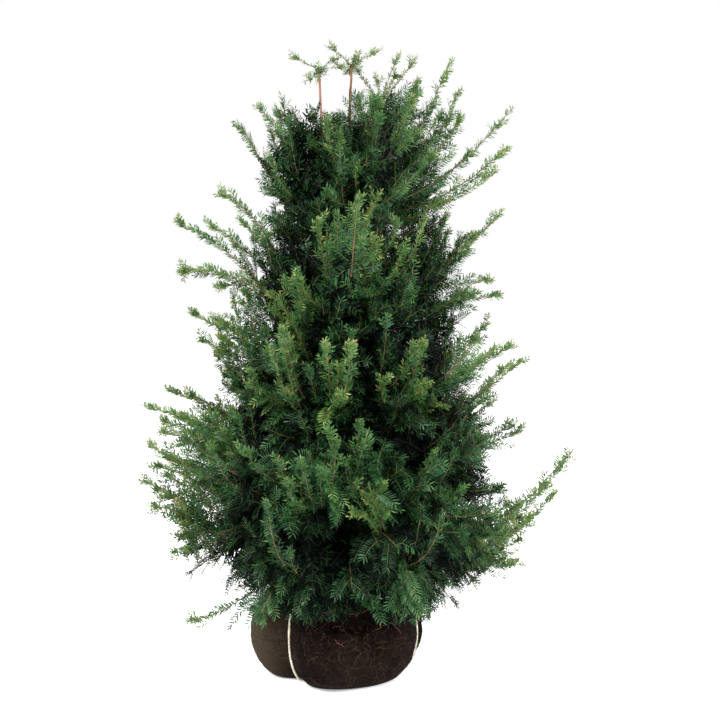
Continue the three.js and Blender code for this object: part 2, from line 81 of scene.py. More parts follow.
MM = 0.001
BALL_RADIUS = 232
BALL_FOOT = 168  # the flat underside's radius
BALL_WAIST = 110  # the height at which the ball is widest
BALL_RIM = 158
BALL_RIM_RISE = 30  # how much higher the rim stands to the left and right
BALL_RIM_RADIUS = 205
BALL_TOP = 250  # where the soil meets the trunk
TIES = ((50, 30), (160, 30), (230, 44), (345, 18))  # each strand's bearing, and how deep it bites
TIE_PULL = 0.6  # how far it lifts the rim, as a share of its bite
TIE_SPREAD = 15  # how wide its crease is, in degrees
JUTE_THICKNESS = 5
LIP_TOP = 2
LIP_DEPTH = 16  # how far the jute turns down inside the rim
SOIL_DEPTH = 6  # the soil's edge below the rim
WRAP_BEARINGS = 320
WRAP_SECTION = (("underside", 8), ("belly", 26), ("shoulder", 22), ("lip", 8))  # parts, points on each
# Relief, coarse to fine: how high, how far apart, and a seed.
FOLDS = ((6, 110, 1), (3, 42, 2))
GRAIN = ((1.4, 15, 3), (0.7, 6, 4))
RIM_WAVES = ((7, 70, 5),)


def srgb(red, green, blue):
    """An 8-bit screen colour as the shader's linear one."""
    parts = [c / 255 for c in (red, green, blue)]
    return tuple(c / 12.92 if c <= 0.04045 else ((c + 0.055) / 1.055) ** 2.4 for c in parts) + (1,)


class Wire:
    """A socket in a finish, on which arithmetic adds Math nodes."""

    def __init__(self, finish, socket):
        self.finish = finish
        self.socket = socket

    def math(self, operation, *values):
        return self.finish.node("Math", {"operation": operation}, dict(enumerate(values)))

    def __add__(self, other):
        return self.math("ADD", self, other)

    def __sub__(self, other):
        return self.math("SUBTRACT", self, other)

    def __rsub__(self, other):
        return self.math("SUBTRACT", other, self)

    def __mul__(self, other):
        return self.math("MULTIPLY", self, other)

    __radd__ = __add__
    __rmul__ = __mul__

    def clamped(self):
        return self.math("MINIMUM", self.math("MAXIMUM", self, 0), 1)


class Finish:
    """A material on one Principled shader, built up from nodes."""

    def __init__(self, name, **constants):
        self.material = bpy.data.materials.new(name)
        self.material.use_nodes = True
        self.nodes = self.material.node_tree.nodes
        self.links = self.material.node_tree.links
        self.shader = self.nodes["Principled BSDF"]
        for socket, value in constants.items():
            self.shader.inputs[socket.replace("_", " ")].default_value = value

    def node(self, kind, settings=None, sockets=None, output=0):
        made = self.nodes.new("ShaderNode" + kind)
        for name, value in (settings or {}).items():
            setattr(made, name, value)
        for name, value in (sockets or {}).items():
            if isinstance(value, Wire):
                self.links.new(value.socket, made.inputs[name])
            else:
                made.inputs[name].default_value = value
        return Wire(self, made.outputs[output])

    def place(self, stretch=(1, 1, 1)):
        """Where on the object, squeezed along an axis so that a pattern is drawn out along it."""
        return self.node("Mapping", {}, {"Vector": self.node("TexCoord", output="Object"), "Scale": stretch})

    def noise(self, scale, detail=2, rough=0.5, stretch=(1, 1, 1)):
        sockets = {"Vector": self.place(stretch), "Scale": scale, "Detail": detail, "Roughness": rough}
        return self.node("TexNoise", {}, sockets)

    def mixed(self, share, *colors):
        """A share of the second colour in the first, each a wire or an 8-bit screen colour."""
        first, second = (color if isinstance(color, Wire) else srgb(*color) for color in colors)
        return self.node("Mix", {"data_type": "RGBA"}, {0: share, 6: first, 7: second}, output=2)

    def paint(self, color, roughness=None, height=None, distance=0.001, strength=1):
        self.links.new(color.socket, self.shader.inputs["Base Color"])
        if roughness is not None:
            self.links.new(roughness.socket, self.shader.inputs["Roughness"])
        if height is not None:
            bump = self.node("Bump", {}, {"Height": height, "Distance": distance, "Strength": strength})
            self.links.new(bump.socket, self.shader.inputs["Normal"])
        return self.material


def mesh_piece(name, points, faces, materials, indices=None):
    """A mesh from points in millimetres and an array of triangles or of quads."""
    faces = np.asarray(faces, dtype=np.int32)
    corners = faces.shape[1]
    mesh = bpy.data.meshes.new(name)
    mesh.vertices.add(len(points))
    mesh.vertices.foreach_set("co", (np.asarray(points, dtype=np.float32) * MM).ravel())
    mesh.loops.add(faces.size)
    mesh.loops.foreach_set("vertex_index", faces.ravel())
    mesh.polygons.add(len(faces))
    mesh.polygons.foreach_set("loop_start", np.arange(len(faces), dtype=np.int32) * corners)
    for material in materials:
        mesh.materials.append(material)
    if indices is not None:
        mesh.polygons.foreach_set("material_index", np.asarray(indices, dtype=np.int32))
    mesh.polygons.foreach_set("use_smooth", np.ones(len(faces), dtype=bool))
    mesh.update(calc_edges=True)
    piece = bpy.data.objects.new(name, mesh)
    bpy.context.collection.objects.link(piece)
    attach(piece, "root")
    return piece


def unit(vectors):
    return vectors / np.maximum(np.linalg.norm(vectors, axis=-1, keepdims=True), 1e-9)


def lumps(points, wavelength, seed):
    """Smooth noise from -1 to 1 at each point: a sum of plane waves in seeded directions."""
    rng = np.random.default_rng(seed)
    waves = 14
    direction = unit(rng.normal(size=(waves, 3)))
    frequency = 2 * math.pi / (wavelength * rng.uniform(0.7, 1.4, waves))
    phase = rng.uniform(0, 2 * math.pi, waves)
    return np.sin(points @ (direction * frequency[:, None]).T + phase).sum(axis=1) / math.sqrt(waves * 2)


def relief(points, layers):
    """Lumps of several sizes together, from the height, wavelength and seed of each."""
    return sum(height * lumps(points, wavelength, seed) for height, wavelength, seed in layers)


def crease(bearing_deg):
    """How far the ties pull the ball in at each bearing."""
    off = [(bite, (bearing_deg - tie + 540) % 360 - 180) for tie, bite in TIES]
    return np.max([bite * np.exp(-((o / TIE_SPREAD) ** 2)) for bite, o in off], axis=0)


def section_rows(bearings_deg, parts):
    """Radii and heights of the ball's surface, a row to a bearing, as the stated parts of its section."""
    bite = crease(bearings_deg)[:, None]
    rim = BALL_RIM + BALL_RIM_RISE * np.cos(np.radians(bearings_deg))[:, None] ** 2 + TIE_PULL * bite
    rows = []
    for part, steps in parts:
        share = np.linspace(0, 1, steps)[None, :]
        turn = share * math.pi / 2
        if part == "underside":
            rows.append(((BALL_FOOT - bite) * share, 0 * bite * share))
        elif part == "belly":
            r = BALL_FOOT + (BALL_RADIUS - BALL_FOOT) * np.sin(turn) - bite
            rows.append((r, BALL_WAIST * (1 - np.cos(turn)) + 0 * bite))
        elif part == "shoulder":
            r = BALL_RIM_RADIUS + (BALL_RADIUS - BALL_RIM_RADIUS) * np.cos(turn) - bite
            rows.append((r, BALL_WAIST + (rim - BALL_WAIST) * np.sin(turn)))
        elif part == "lip":
            r = BALL_RIM_RADIUS - bite - JUTE_THICKNESS * np.sin(turn * 2) ** 0.5
            rows.append((r - 0.5 * JUTE_THICKNESS * share, rim + LIP_TOP - LIP_DEPTH * share**2))
        else:
            r = (BALL_RIM_RADIUS - bite - 0.5 * JUTE_THICKNESS) * (1 - share)
            risen_share = np.sin(np.minimum(turn * 1.3, math.pi / 2))
            rows.append((r, rim - SOIL_DEPTH + (BALL_TOP - rim + SOIL_DEPTH) * risen_share))
    return np.hstack([r for r, z in rows]), np.hstack([z for r, z in rows])


def around(radii, turns, heights):
    """Places at a radius, a turn in radians and a height."""
    return np.stack([radii * np.cos(turns), radii * np.sin(turns), heights], axis=-1)


def quads(rows, columns, closed):
    """The faces between points in rows and columns, closed over the rows (0) or the columns (1)."""
    numbers = np.arange(rows * columns).reshape(rows, columns)
    numbers = np.append(numbers, numbers.take([0], axis=closed), axis=closed)
    corners = [numbers[:-1, :-1], numbers[1:, :-1], numbers[1:, 1:], numbers[:-1, 1:]]
    return np.stack(corners, axis=2).reshape(-1, 4)


def turned(radii, heights, bearings_deg):
    """Rows of radii and heights set round the trunk's axis, as points and quads."""
    points = around(radii, np.radians(bearings_deg)[:, None], heights)
    return points.reshape(-1, 3), quads(*radii.shape, closed=0)


bearings = np.arange(WRAP_BEARINGS) * 360 / WRAP_BEARINGS
wrap_points, wrap_quads = turned(*section_rows(bearings, WRAP_SECTION), bearings)
# jute sags in folds between the ties, its rim is uneven, and the peat in it is lumpy
drawn_down = wrap_points * (1, 1, 0.4)
sag = relief(drawn_down, FOLDS) + relief(wrap_points, GRAIN)
outward = unit(wrap_points * (1, 1, 0))
off_ground = np.clip(wrap_points[:, 2] / 25, 0, 1)
near_rim = np.clip((wrap_points[:, 2] - BALL_WAIST) / 60, 0, 1)
rim_waves = relief(wrap_points * (1, 1, 0), RIM_WAVES) * near_rim
wrap_points += outward * (sag * off_ground)[:, None]
wrap_points[:, 2] += rim_waves

jute = Finish("peaty_jute", Roughness=0.95, Specular_IOR_Level=0.05)
stains = jute.noise(11, 4, 0.6)
crumbs = jute.noise(150, 4, 0.7)
threads = jute.noise(520, 3, 0.7, (1, 1, 0.35))
damp = jute.mixed((stains * 3 - 1).clamped(), (8, 4, 3), (30, 21, 17))
peaty = jute.mixed((crumbs * 3.4 - 1.35).clamped(), damp, (3, 1, 1))
dusty = jute.mixed(((threads - 0.56) * 7).clamped() * 0.35, peaty, (78, 58, 46))
# the jute's threads show paler over the ball's -X side
from_middle = jute.node("SeparateXYZ", {}, {"Vector": jute.place()})
paler_on_minus_x = (from_middle * -8 - 0.9).clamped() * (threads * 1.6 - 0.2).clamped()
dusty = jute.mixed(paler_on_minus_x * 0.75, dusty, (88, 76, 60))
jute.paint(dusty, height=crumbs * 0.8 + threads * 0.4, distance=0.005)
wrap = mesh_piece("jute_wrap", wrap_points, wrap_quads, [jute.material])
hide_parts("root_ball")

# ---- Soil and roots ----
# Crumbly dark peat fills the wrap and heaps up to the trunk. Fine orange-brown roots lie on it and
# hang over the rim, and pale hairs of jute and root stand off the wrap.

SOIL_BEARINGS = 260
SOIL_SECTION = (("soil", 48),)
CRUMBS = ((3, 30, 6), (2.2, 11, 7), (1.3, 5, 8))
ROOTS = 90
ROOT_LENGTHS = (30, 110)
ROOT_RADII = (0.7, 1.5)
ROOT_TIP = 0.4
ROOT_STEP = 7
ROOT_LIFT = 1.5  # how far it lies off the surface
ROOT_REGION = 120  # roots start further out than this
HAIRS = 1100
HAIR_LENGTHS = (7, 34)
HAIR_BREADTHS = (0.12, 0.26)

bearings = np.arange(SOIL_BEARINGS) * 360 / SOIL_BEARINGS
soil_points, soil_quads = turned(*section_rows(bearings, SOIL_SECTION), bearings)
soil_points[:, 2] += relief(soil_points, CRUMBS)
soil = Finish("peat", Roughness=1.0, Specular_IOR_Level=0.1)
clods = soil.noise(120, 5, 0.7)
soil_color = soil.mixed((clods * 3 - 1).clamped(), (10, 6, 5), (40, 27, 21))
soil.paint(soil_color, height=clods, distance=0.006)
soil_piece = mesh_piece("soil", soil_points, soil_quads, [soil.material])


def square_to(along, reference):
    """Two directions square to each other and to the way along, the first square to a reference too."""
    side = unit(np.cross(along, reference))
    return side, np.cross(side, along)


def swept(path, radii, sides):
    """Points and quads of a tube along a path, with a radius for each point of it."""
    path = np.asarray(path, dtype=float)
    chord = unit(path[-1] - path[0])
    reference = (0.0, 1.0, 0.0) if abs(chord[2]) > 0.85 else (0.0, 0.0, 1.0)
    side, over = square_to(unit(np.gradient(path, axis=0)), reference)
    turn = np.linspace(0, 2 * math.pi, sides, endpoint=False)[None, :, None]
    radii = np.broadcast_to(np.asarray(radii, dtype=float), (len(path),))[:, None, None]
    rings = path[:, None] + radii * (np.cos(turn) * side[:, None] + np.sin(turn) * over[:, None])
    return rings.reshape(-1, 3), quads(len(path), sides, closed=1)


def joined(parts):
    """Several (points, faces) as one."""
    points, faces, start = [], [], 0
    for p, f in parts:
        points.append(p)
        faces.append(np.asarray(f) + start)
        start += len(p)
    return np.concatenate(points), np.concatenate(faces)


def wandering(surface, start, heading, length, rng):
    """A root's path over a surface from one of its points, a little off it."""
    steps = max(4, int(length / ROOT_STEP))
    path = [surface[start] + 0.0]
    for _ in range(steps):
        heading = unit(heading + 0.35 * rng.normal(size=3))
        ahead = path[-1] + heading * length / steps
        near = surface[np.argmin(((surface - ahead) ** 2).sum(axis=1))]
        away = unit(near - np.array([0, 0, 60]))
        path.append(0.4 * ahead + 0.6 * near + away * ROOT_LIFT)
    return np.array(path)


rng = np.random.default_rng(40)
at_rim = np.flatnonzero(np.hypot(soil_points[:, 0], soil_points[:, 1]) > ROOT_REGION)
both = np.concatenate([soil_points[::3], wrap_points[wrap_points[:, 2] > 60][::3]])
root_parts = []
for _ in range(ROOTS):
    place = soil_points[rng.choice(at_rim)]
    start = int(np.argmin(((both - place) ** 2).sum(axis=1)))
    heading = rng.normal(size=3) * (1, 1, 0.3)
    path = wandering(both, start, heading, rng.uniform(*ROOT_LENGTHS), rng)
    root_parts.append(swept(path, np.linspace(rng.uniform(*ROOT_RADII), ROOT_TIP, len(path)), 4))
roots = Finish("fine_roots", Roughness=0.7, Specular_IOR_Level=0.3)
root_streaks = roots.noise(130, 3)
roots.paint(roots.mixed(root_streaks, (70, 38, 24), (140, 88, 58)), height=root_streaks)
roots_piece = mesh_piece("fine_roots", *joined(root_parts), [roots.material])

# hairs: each a bent ribbon of two quads that lies along the wrap
start = rng.choice(np.flatnonzero(wrap_points[:, 2] > 12), HAIRS)
place = wrap_points[start]
away = unit(place * (1, 1, 0.25) - np.array([0, 0, 20]))
heading = unit(np.cross(away, rng.normal(size=place.shape)) + 0.12 * away)
breadth = np.cross(heading, away) * rng.uniform(*HAIR_BREADTHS, (HAIRS, 1))
length = rng.uniform(*HAIR_LENGTHS, (HAIRS, 1))
bow = away * length * rng.uniform(0.02, 0.1, (HAIRS, 1))
bow = bow + np.cross(away, heading) * length * rng.normal(0, 0.12, (HAIRS, 1))
spine = (place + away * 1.2, place + heading * length * 0.5 + bow, place + heading * length + away * 1.5)
hair_points = np.stack([p + s * breadth for p in spine for s in (-1, 1)], axis=1).reshape(-1, 3)
hair_points[:, 2] = np.maximum(hair_points[:, 2], 1)
hair_faces = (np.arange(HAIRS) * 6)[:, None, None] + np.array([(0, 1, 3, 2), (2, 3, 5, 4)])
hair = Finish("jute_hairs", Roughness=0.8, Specular_IOR_Level=0.2)
hair.paint(hair.mixed(hair.noise(40, 2), (40, 27, 19), (92, 70, 52)))
hairs_piece = mesh_piece("jute_hairs", hair_points, hair_faces.reshape(-1, 4), [hair.material])

# ---- Twine ----
# Cream twine of two twisted plies. Four strands run up the creases from under the ball to a loop
# round the foot of the trunk.

TWINE_OFF = 4.5  # from the jute to the twine's middle
TWINE_PLY = 1.75
TWINE_TWIST = 1.5  # from the twine's middle to a ply's
TWINE_TURNS = 30
STRAND_SECTION = (("underside", 8), ("belly", 20), ("shoulder", 20), ("soil", 20))
STRAND_START = (110, 20)  # under the ball a strand starts at this radius, or above this height
STRAND_STEPS = 420
LOOP_RADIUS = 38
LOOP_LIFT = 5
LOOP_STEPS = 200


def twisted(path):
    """Two plies that wind round a path."""
    side, over = square_to(unit(np.gradient(path, axis=0)), (0.3, 0.2, 1))
    for ply in (0, math.pi):
        angle = np.linspace(0, 2 * math.pi * TWINE_TURNS, len(path))[:, None] + ply
        yield swept(path + TWINE_TWIST * (np.cos(angle) * side + np.sin(angle) * over), TWINE_PLY, 5)


def resampled(points, known, wanted):
    """Places at the wanted shares of a path, from the points at its known ones."""
    return np.stack([np.interp(wanted, known, points[:, axis]) for axis in range(3)], axis=1)


strands = []
for tie, _ in TIES:
    r, z = (row[0] for row in section_rows(np.array([float(tie)]), STRAND_SECTION))
    distinct = np.concatenate([[True], np.hypot(np.diff(r), np.diff(z)) > 0.5])
    wanted = distinct & (r > LOOP_RADIUS) & ((r > STRAND_START[0]) | (z > STRAND_START[1]))
    r, z = r[wanted], z[wanted]
    slope = unit(np.stack([np.gradient(r), np.gradient(z)], axis=1))
    r, z = r + slope[:, 1] * TWINE_OFF, z - slope[:, 0] * TWINE_OFF
    run = np.linspace(0, 1, len(r))
    bearing = math.radians(tie) + 0.02 * np.sin(7 * run)
    strand = around(r, bearing, np.maximum(z, TWINE_TWIST + TWINE_PLY))
    strands.extend(twisted(resampled(strand, run, np.linspace(0, 1, STRAND_STEPS))))
turn = np.linspace(0, 2 * math.pi, LOOP_STEPS)
strands.extend(twisted(around(LOOP_RADIUS, turn, np.full_like(turn, BALL_TOP + LOOP_LIFT))))
twine = Finish("cream_twine", Roughness=0.8, Specular_IOR_Level=0.3)
soiled = twine.noise(60, 3)
twine_color = twine.mixed((soiled * 2 - 0.75).clamped(), (226, 219, 200), (164, 146, 118))
twine.paint(twine_color, height=twine.noise(900, 2), distance=0.0006, strength=0.6)
ties = mesh_piece("twine", *joined(strands), [twine.material])
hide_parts("ties")

# ---- Trunk and leaders ----
# A slender trunk leans to +X and tapers to the middle leader, with two side leaders. Reddish-brown
# bark flakes low down, and the leaders are smooth and pinkish.

TRUNK_TOP = 1602
TRUNK_LEAN = 38
TRUNK_SWAY = 9
TRUNK_RADII = ((0, 0.25, 0.6, 0.8, 1), (21, 17, 10, 4.6, 3))  # by share of its height
TRUNK_START = 0.3  # above the soil
TRUNK_SIDES = 28
FLARE = 13
FLARE_HEIGHT = 55
LEADER_RADII = ((0, 0.6, 1), (6, 4, 2.8))
LEADER_SIDES = 12
LEADERS = {
    "left": {"foot": 1050, "bend": (-34, -46, 1190), "tip": (-45, -36, 1585)},
    "right": {"foot": 1105, "bend": (108, 12, 1225), "tip": (112, 16, 1502)},
}


def trunk_at(height):
    """The trunk's middle at a height."""
    t = (np.asarray(height, dtype=float) - BALL_TOP) / (TRUNK_TOP - BALL_TOP)
    middle = [TRUNK_LEAN * t**1.5, TRUNK_SWAY * np.sin(5 * t) * t, BALL_TOP + (TRUNK_TOP - BALL_TOP) * t]
    return np.stack(middle, axis=-1)


def on_curve(curve, t):
    """Places and directions along quadratic curves, given by foot, middle and tip, at shares t."""
    foot, middle, tip = curve
    t = np.asarray(t, dtype=float)[..., None]
    place = (1 - t) ** 2 * foot + 2 * t * (1 - t) * middle + t**2 * tip
    return place, unit((1 - t) * (middle - foot) + t * (tip - middle))


def bark_relief(points, path, depth, seed):
    """Ridges that run up a limb: noise stretched along it moves its surface in or out."""
    centre = np.repeat(path, len(points) // len(path), axis=0)
    ridges = relief(points * (1, 1, 0.22), ((1, 9, seed), (0.6, 4, seed + 1)))
    return points + unit(points - centre) * (depth * ridges)[:, None]


share = np.linspace(0, 1, 400)
trunk_path = trunk_at(BALL_TOP + TRUNK_START + (TRUNK_TOP - BALL_TOP - TRUNK_START) * share)
flare = FLARE * np.exp(-share * (TRUNK_TOP - BALL_TOP) / FLARE_HEIGHT)
trunk_points, trunk_faces = swept(trunk_path, np.interp(share, *TRUNK_RADII) + flare, TRUNK_SIDES)
trunk_points = bark_relief(trunk_points, trunk_path, 0.9, 11)
trunk_points[:TRUNK_SIDES, 2] = BALL_TOP - SOIL_DEPTH
bark = Finish("flaking_bark", Roughness=0.85, Specular_IOR_Level=0.3)
flakes = bark.noise(170, 5, 0.6, (1, 1, 0.25))
plates = bark.noise(60, 3, 0.5, (1, 1, 0.25))
bark_color = bark.mixed((plates * 3 - 1).clamped(), (58, 36, 25), (112, 74, 52))
bark_color = bark.mixed((flakes * 3 - 1.3).clamped() * 0.6, bark_color, (140, 106, 80))
bark.paint(bark_color, height=flakes + plates, distance=0.003, strength=0.8)
trunk_piece = mesh_piece("trunk_bark", trunk_points, trunk_faces, [bark.material])
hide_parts("trunk")

young_bark = Finish("young_bark", Roughness=0.6, Specular_IOR_Level=0.4)
young_streaks = young_bark.noise(240, 3, 0.5, (1, 1, 0.3))
young_color = young_bark.mixed(young_streaks, (96, 56, 42), (142, 92, 74))
young_bark.paint(young_color, height=young_streaks, distance=0.001, strength=0.5)
leader_parts = []
for plan in LEADERS.values():
    t = np.linspace(0, 1, 90)
    path, _ = on_curve((trunk_at(plan["foot"]), np.array(plan["bend"]), np.array(plan["tip"])), t)
    points, faces = swept(path, np.interp(t, *LEADER_RADII), LEADER_SIDES)
    leader_parts.append((bark_relief(points, path, 0.25, 21), faces))
leaders_piece = mesh_piece("leaders_bark", *joined(leader_parts), [young_bark.material])
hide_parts("leader_left", "leader_right")

# ---- Boughs ----
# Each bough leaves the trunk and runs on as the stem of its mass of foliage, out to its leading
# shoot. The tiers' spaces, one to a bough, are those that the masses keep to.


def rows(columns):
    """A list of dicts, one to a row, from the columns of a table."""
    return [dict(zip(columns, row)) for row in zip(*columns.values())]


SEED = 1660
TIER_SEEDS = 97
OUTLINE = (  # the crown's heights, and its radius at each
    (120, 200, 300, 430, 565, 700, 830, 965, 1100, 1230, 1360, 1500, 1580, 1640),
    (240, 310, 385, 430, 410, 375, 352, 330, 295, 302, 276, 232, 152, 80),
)
FULLER = ((300, 1230, 1500), (0.1, 0.17, 0.26))  # how much further it reaches to +X, by height
# Between two tiers lies a cone that waves as it goes round.
LAYERS = rows({
    "height": (300, 405, 565, 780, 1020, 1425),  # where it meets the axis
    "rise": (-0.42, 0.1, 0.38, 0.6, 0.8, 0.6),  # its slope
    "wave": (0, 0.12, 0.13, 0.14, 0.15, 0.12),  # how much that changes
    "phase": (0, 200, 80, 300, 150, 20),  # and where, in degrees
})
WAVES = 3
CELL_GAP = 2  # from a mass to the edge of its space
TIERS = rows({
    "name": ("skirt", "lower", "middle", "upper", "crown"),
    "boughs": (6, 6, 5, 4, 3),
    "first": (0, 28, 36, 8, 68),  # the first bough's bearing
    "inner": (115, 105, 85, 70, 55),  # how far from the axis the masses start
    "shoots": (3, 3, 3, 4, 5),
    "arch": (0.1, -0.05, -0.08, -0.08, -0.08),  # of boughs and shoots: over or, below 0, upwards
})
BOUGH_RADIUS = 9.5
BOUGH_THINNING = 1.2  # how much thinner it is on each tier above
BOUGH_TAPER = 0.55  # what is left of its radius where the mass starts
THIN_SHARE = 0.7  # how far along it is thin
THIN_TAPER = 0.3  # and what is left of its radius there
BOUGH_TIP = 0.8
BOUGH_SIDES = 10
BOUGH_FEET = (0.3, 0.46)  # in turn, the share of their tier's height at which they leave the trunk
INNER_SHARE = 0.4  # and at which they enter the mass
HANGING_TIP = 0.35  # and at which their stems end
RISING_TIP = 0.62
LEAD = 90
GOLDEN = 0.618
LINE_STEPS = 101
STEM_END = 90  # the step of it before which other shoots leave
LEAST_DEPTH = 20


def seeded(seed):
    """The same draws for the same seed, each from 0 up to 1."""
    state = seed & 0xFFFFFFFF

    def draw():
        nonlocal state
        state = (state + 0x6D2B79F5) & 0xFFFFFFFF
        t = state
        t = ((t ^ (t >> 15)) * (t | 1)) & 0xFFFFFFFF
        t ^= (t + (t ^ (t >> 7)) * (t | 61)) & 0xFFFFFFFF
        return ((t ^ (t >> 14)) & 0xFFFFFFFF) / 4294967296

    return draw


def polar(bearing, r, z):
    return np.array([r * math.cos(math.radians(bearing)), r * math.sin(math.radians(bearing)), z])


def off_axis(p):
    return math.hypot(p[0], p[1])


def bearing_of(p):
    return math.degrees(math.atan2(p[1], p[0]))


def outline(z, bearing):
    """The crown's radius at a height and bearing."""
    return float(np.interp(z, *OUTLINE)) * (1 + np.interp(z, *FULLER) * math.cos(math.radians(bearing)))


def surface(layer, r, bearing):
    wave = layer["wave"] * math.cos(math.radians(WAVES * bearing + layer["phase"]))
    return layer["height"] + r * (layer["rise"] + wave)


class Space:
    """The wedge of one tier that a mass keeps to."""

    def __init__(self, tier_index, index):
        self.tier = TIERS[tier_index]
        self.tier_index = tier_index
        self.index = index
        self.bearing = self.tier["first"] + 360 * index / self.tier["boughs"]
        self.half = 180 / self.tier["boughs"]
        self.floor = LAYERS[tier_index]
        self.ceiling = LAYERS[tier_index + 1]
        self.inner = self.at(0, self.tier["inner"], INNER_SHARE)
        rise = BOUGH_FEET[index % 2]
        self.foot = self.floor["height"] * (1 - rise) + self.ceiling["height"] * rise

    def at(self, width_share, r, share):
        b = self.bearing + width_share * self.half
        low = surface(self.floor, r, b) + 2 * CELL_GAP
        high = surface(self.ceiling, r, b) - 2 * CELL_GAP
        return polar(b, r, low + (high - low) * share)

    def within(self, width_share, share, inset):
        """The same, but with the radius given as how far it lies in from the crown's outline."""
        r = self.tier["inner"]
        for _ in range(5):
            p = self.at(width_share, r, share)
            r = outline(p[2], self.bearing + width_share * self.half) - inset
            r = max(r, self.tier["inner"] + LEAST_DEPTH)
        return self.at(width_share, r, share)

    def holds(self, p):
        r = off_axis(p)
        b = bearing_of(p)
        off = abs((b - self.bearing + 540) % 360 - 180)
        side = r * math.sin(math.radians(self.half - off))
        across = r * math.cos(math.radians(off))
        if off >= self.half or side <= CELL_GAP or across <= self.tier["inner"] - CELL_GAP:
            return False
        low = surface(self.floor, r, b) + CELL_GAP
        high = surface(self.ceiling, r, b) - CELL_GAP
        return low < p[2] < high


def spline(points, count):
    """A centripetal Catmull-Rom curve through the points, sampled evenly by length."""
    p = [np.asarray(q, dtype=float) for q in points]
    p = [2 * p[0] - p[1]] + p + [2 * p[-1] - p[-2]]
    t = np.linspace(0, 1, 60, endpoint=False)[:, None]
    fine = []
    for a, b, c, d in zip(p, p[1:], p[2:], p[3:]):
        t1, t2, t3 = (math.sqrt(np.linalg.norm(end - start)) for start, end in ((a, b), (b, c), (c, d)))
        leave = ((b - a) / t1 - (c - a) / (t1 + t2) + (c - b) / t2) * t2
        arrive = ((c - b) / t2 - (d - b) / (t2 + t3) + (d - c) / t3) * t2
        ends = b * (2 * t**3 - 3 * t**2 + 1) + c * (3 * t**2 - 2 * t**3)
        fine.append(ends + leave * (t**3 - 2 * t**2 + t) + arrive * (t**3 - t**2))
    fine = np.concatenate(fine + [p[-2][None]])
    walked = np.concatenate([[0], np.cumsum(np.linalg.norm(np.diff(fine, axis=0), axis=1))])
    even = np.linspace(0, walked[-1], count)
    return resampled(fine, walked, even)


def bough_line(space):
    """The line of a bough and its stem, and the step of it at which the mass begins."""
    tier = space.tier
    foot = trunk_at(space.foot)
    tip_share = HANGING_TIP if tier["arch"] > 0 else RISING_TIP
    tip = space.within(0, tip_share, -LEAD * ((space.index * GOLDEN) % 1))
    bend = (space.inner + tip) / 2
    bend[2] += tier["arch"] * 2 * np.linalg.norm(tip - space.inner)
    line = spline([foot, space.inner, bend, tip], LINE_STEPS)
    meet = int(np.argmax(np.linalg.norm(line - foot, axis=1) >= np.linalg.norm(space.inner - foot)))
    return line, meet


spaces = [Space(t, n) for t, tier in enumerate(TIERS) for n in range(tier["boughs"])]
bough_parts = []
stem_places = []
for space in spaces:
    line, meet = bough_line(space)
    stem_places.append(line[meet:STEM_END])
    thick = BOUGH_RADIUS - BOUGH_THINNING * space.tier_index
    reach = np.linspace(0, 1, LINE_STEPS)
    radii = (thick, BOUGH_TAPER * thick, THIN_TAPER * thick, BOUGH_TIP)
    girth = np.interp(reach, (0, reach[meet], THIN_SHARE, 1), radii)
    points, faces = swept(line, girth, BOUGH_SIDES)
    bough_parts.append((bark_relief(points, line, 0.4, 31 + space.index), faces))
stem_places = np.concatenate(stem_places)
boughs_piece = mesh_piece("boughs_bark", *joined(bough_parts), [bark.material])
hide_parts(*(f"bough_{s.tier['name']}_{s.index + 1}" for s in spaces))

# ---- Shoots and needles ----
# From each stem grow shoots, and on them side sprays with flat soft needles, in two combed ranks
# where they hang in shade and all round where they stand up. Young twigs are green, older ones brown.

UP = np.array([0.0, 0.0, 1.0])

# How the foliage looks, tier by tier from the skirt up to the crown.
HABITS = rows({
    "needle": (22, 22, 21, 20, 19),  # a needle's length
    "width": (2.7, 2.7, 2.7, 2.6, 2.6),  # and width
    "pitch": (2.8, 2.8, 2.8, 2.8, 2.8),  # from one needle to the next
    "comb": (1.0, 1.0, 0.97, 0.93, 0.88),  # the share of needles in two combed ranks
    "side": (105, 96, 80, 68, 60),  # a side spray's length
    "spread": (46, 45, 43, 40, 36),  # its angle from the shoot, in degrees
    "spacing": (17, 17, 17, 17, 16),  # from one side spray to the next
    "droop": (0.34, 0.3, 0.22, 0.0, -0.15),  # how far its end sinks, as a share of its length
    # how much its flat side faces outwards, up, and round the crown
    "faces": ((0.95, 0.3, 0), (0.95, 0.35, 0), (0.9, 0.38, 0), (0.88, 0.4, 0), (0.85, 0.4, 0)),
    "lowest": (205, 0, 0, 0, 0),  # the height that it stays above
    "main": (8, 9, 14, 16, 14),  # how many main shoots a mass has
    "upright": (6, 16, 13, 15, 12),  # how many that stand up from them
    "tussock": (2, 2, 2, 3, 3),  # and how many in each tussock inside
    "inset": (30, 30, 45, 52, 60),  # how far in from the outline the outermost main shoot ends
    "light": (0.36, 0.43, 0.54, 0.52, 0.5),  # how light the outermost needles are painted: painted light at the outline
    "deep": (0.05, 0.06, 0.1, 0.2, 0.32),  # and the innermost, as a share of that, darkened as painted shade
    "inner_needle": (29, 27, 25, 23, 21),  # a needle's length on the inner sprays, which are darkened as painted shade
    "inner_side": (88, 79, 70, 61, 52),  # and a side spray's on them
    "long_side": (120, 125, 110, 60, 36),  # a side spray's on the long shoots
    "long_start": (0.2, 0.2, 0.2, 0.5, 0.68),  # where along a long shoot side sprays start
    "long_last": (0.8, 0.8, 0.8, 0.85, 0.95),  # and where they end
    "long_bare": (0.04, 0.04, 0.04, 0.1, 0.5),  # and how much of it has no needles
    "standing_start": (0.3, 0.3, 0.3, 0.3, 0.7),  # where along a standing shoot side sprays start
})
LONG_HABIT = {"needle": 17, "width": 2.5, "pitch": 2.2, "comb": 0.45, "side": 46, "spread": 30,
              "spacing": 24, "droop": -0.1, "faces": (0.6, 0.6, 0), "lowest": 0}
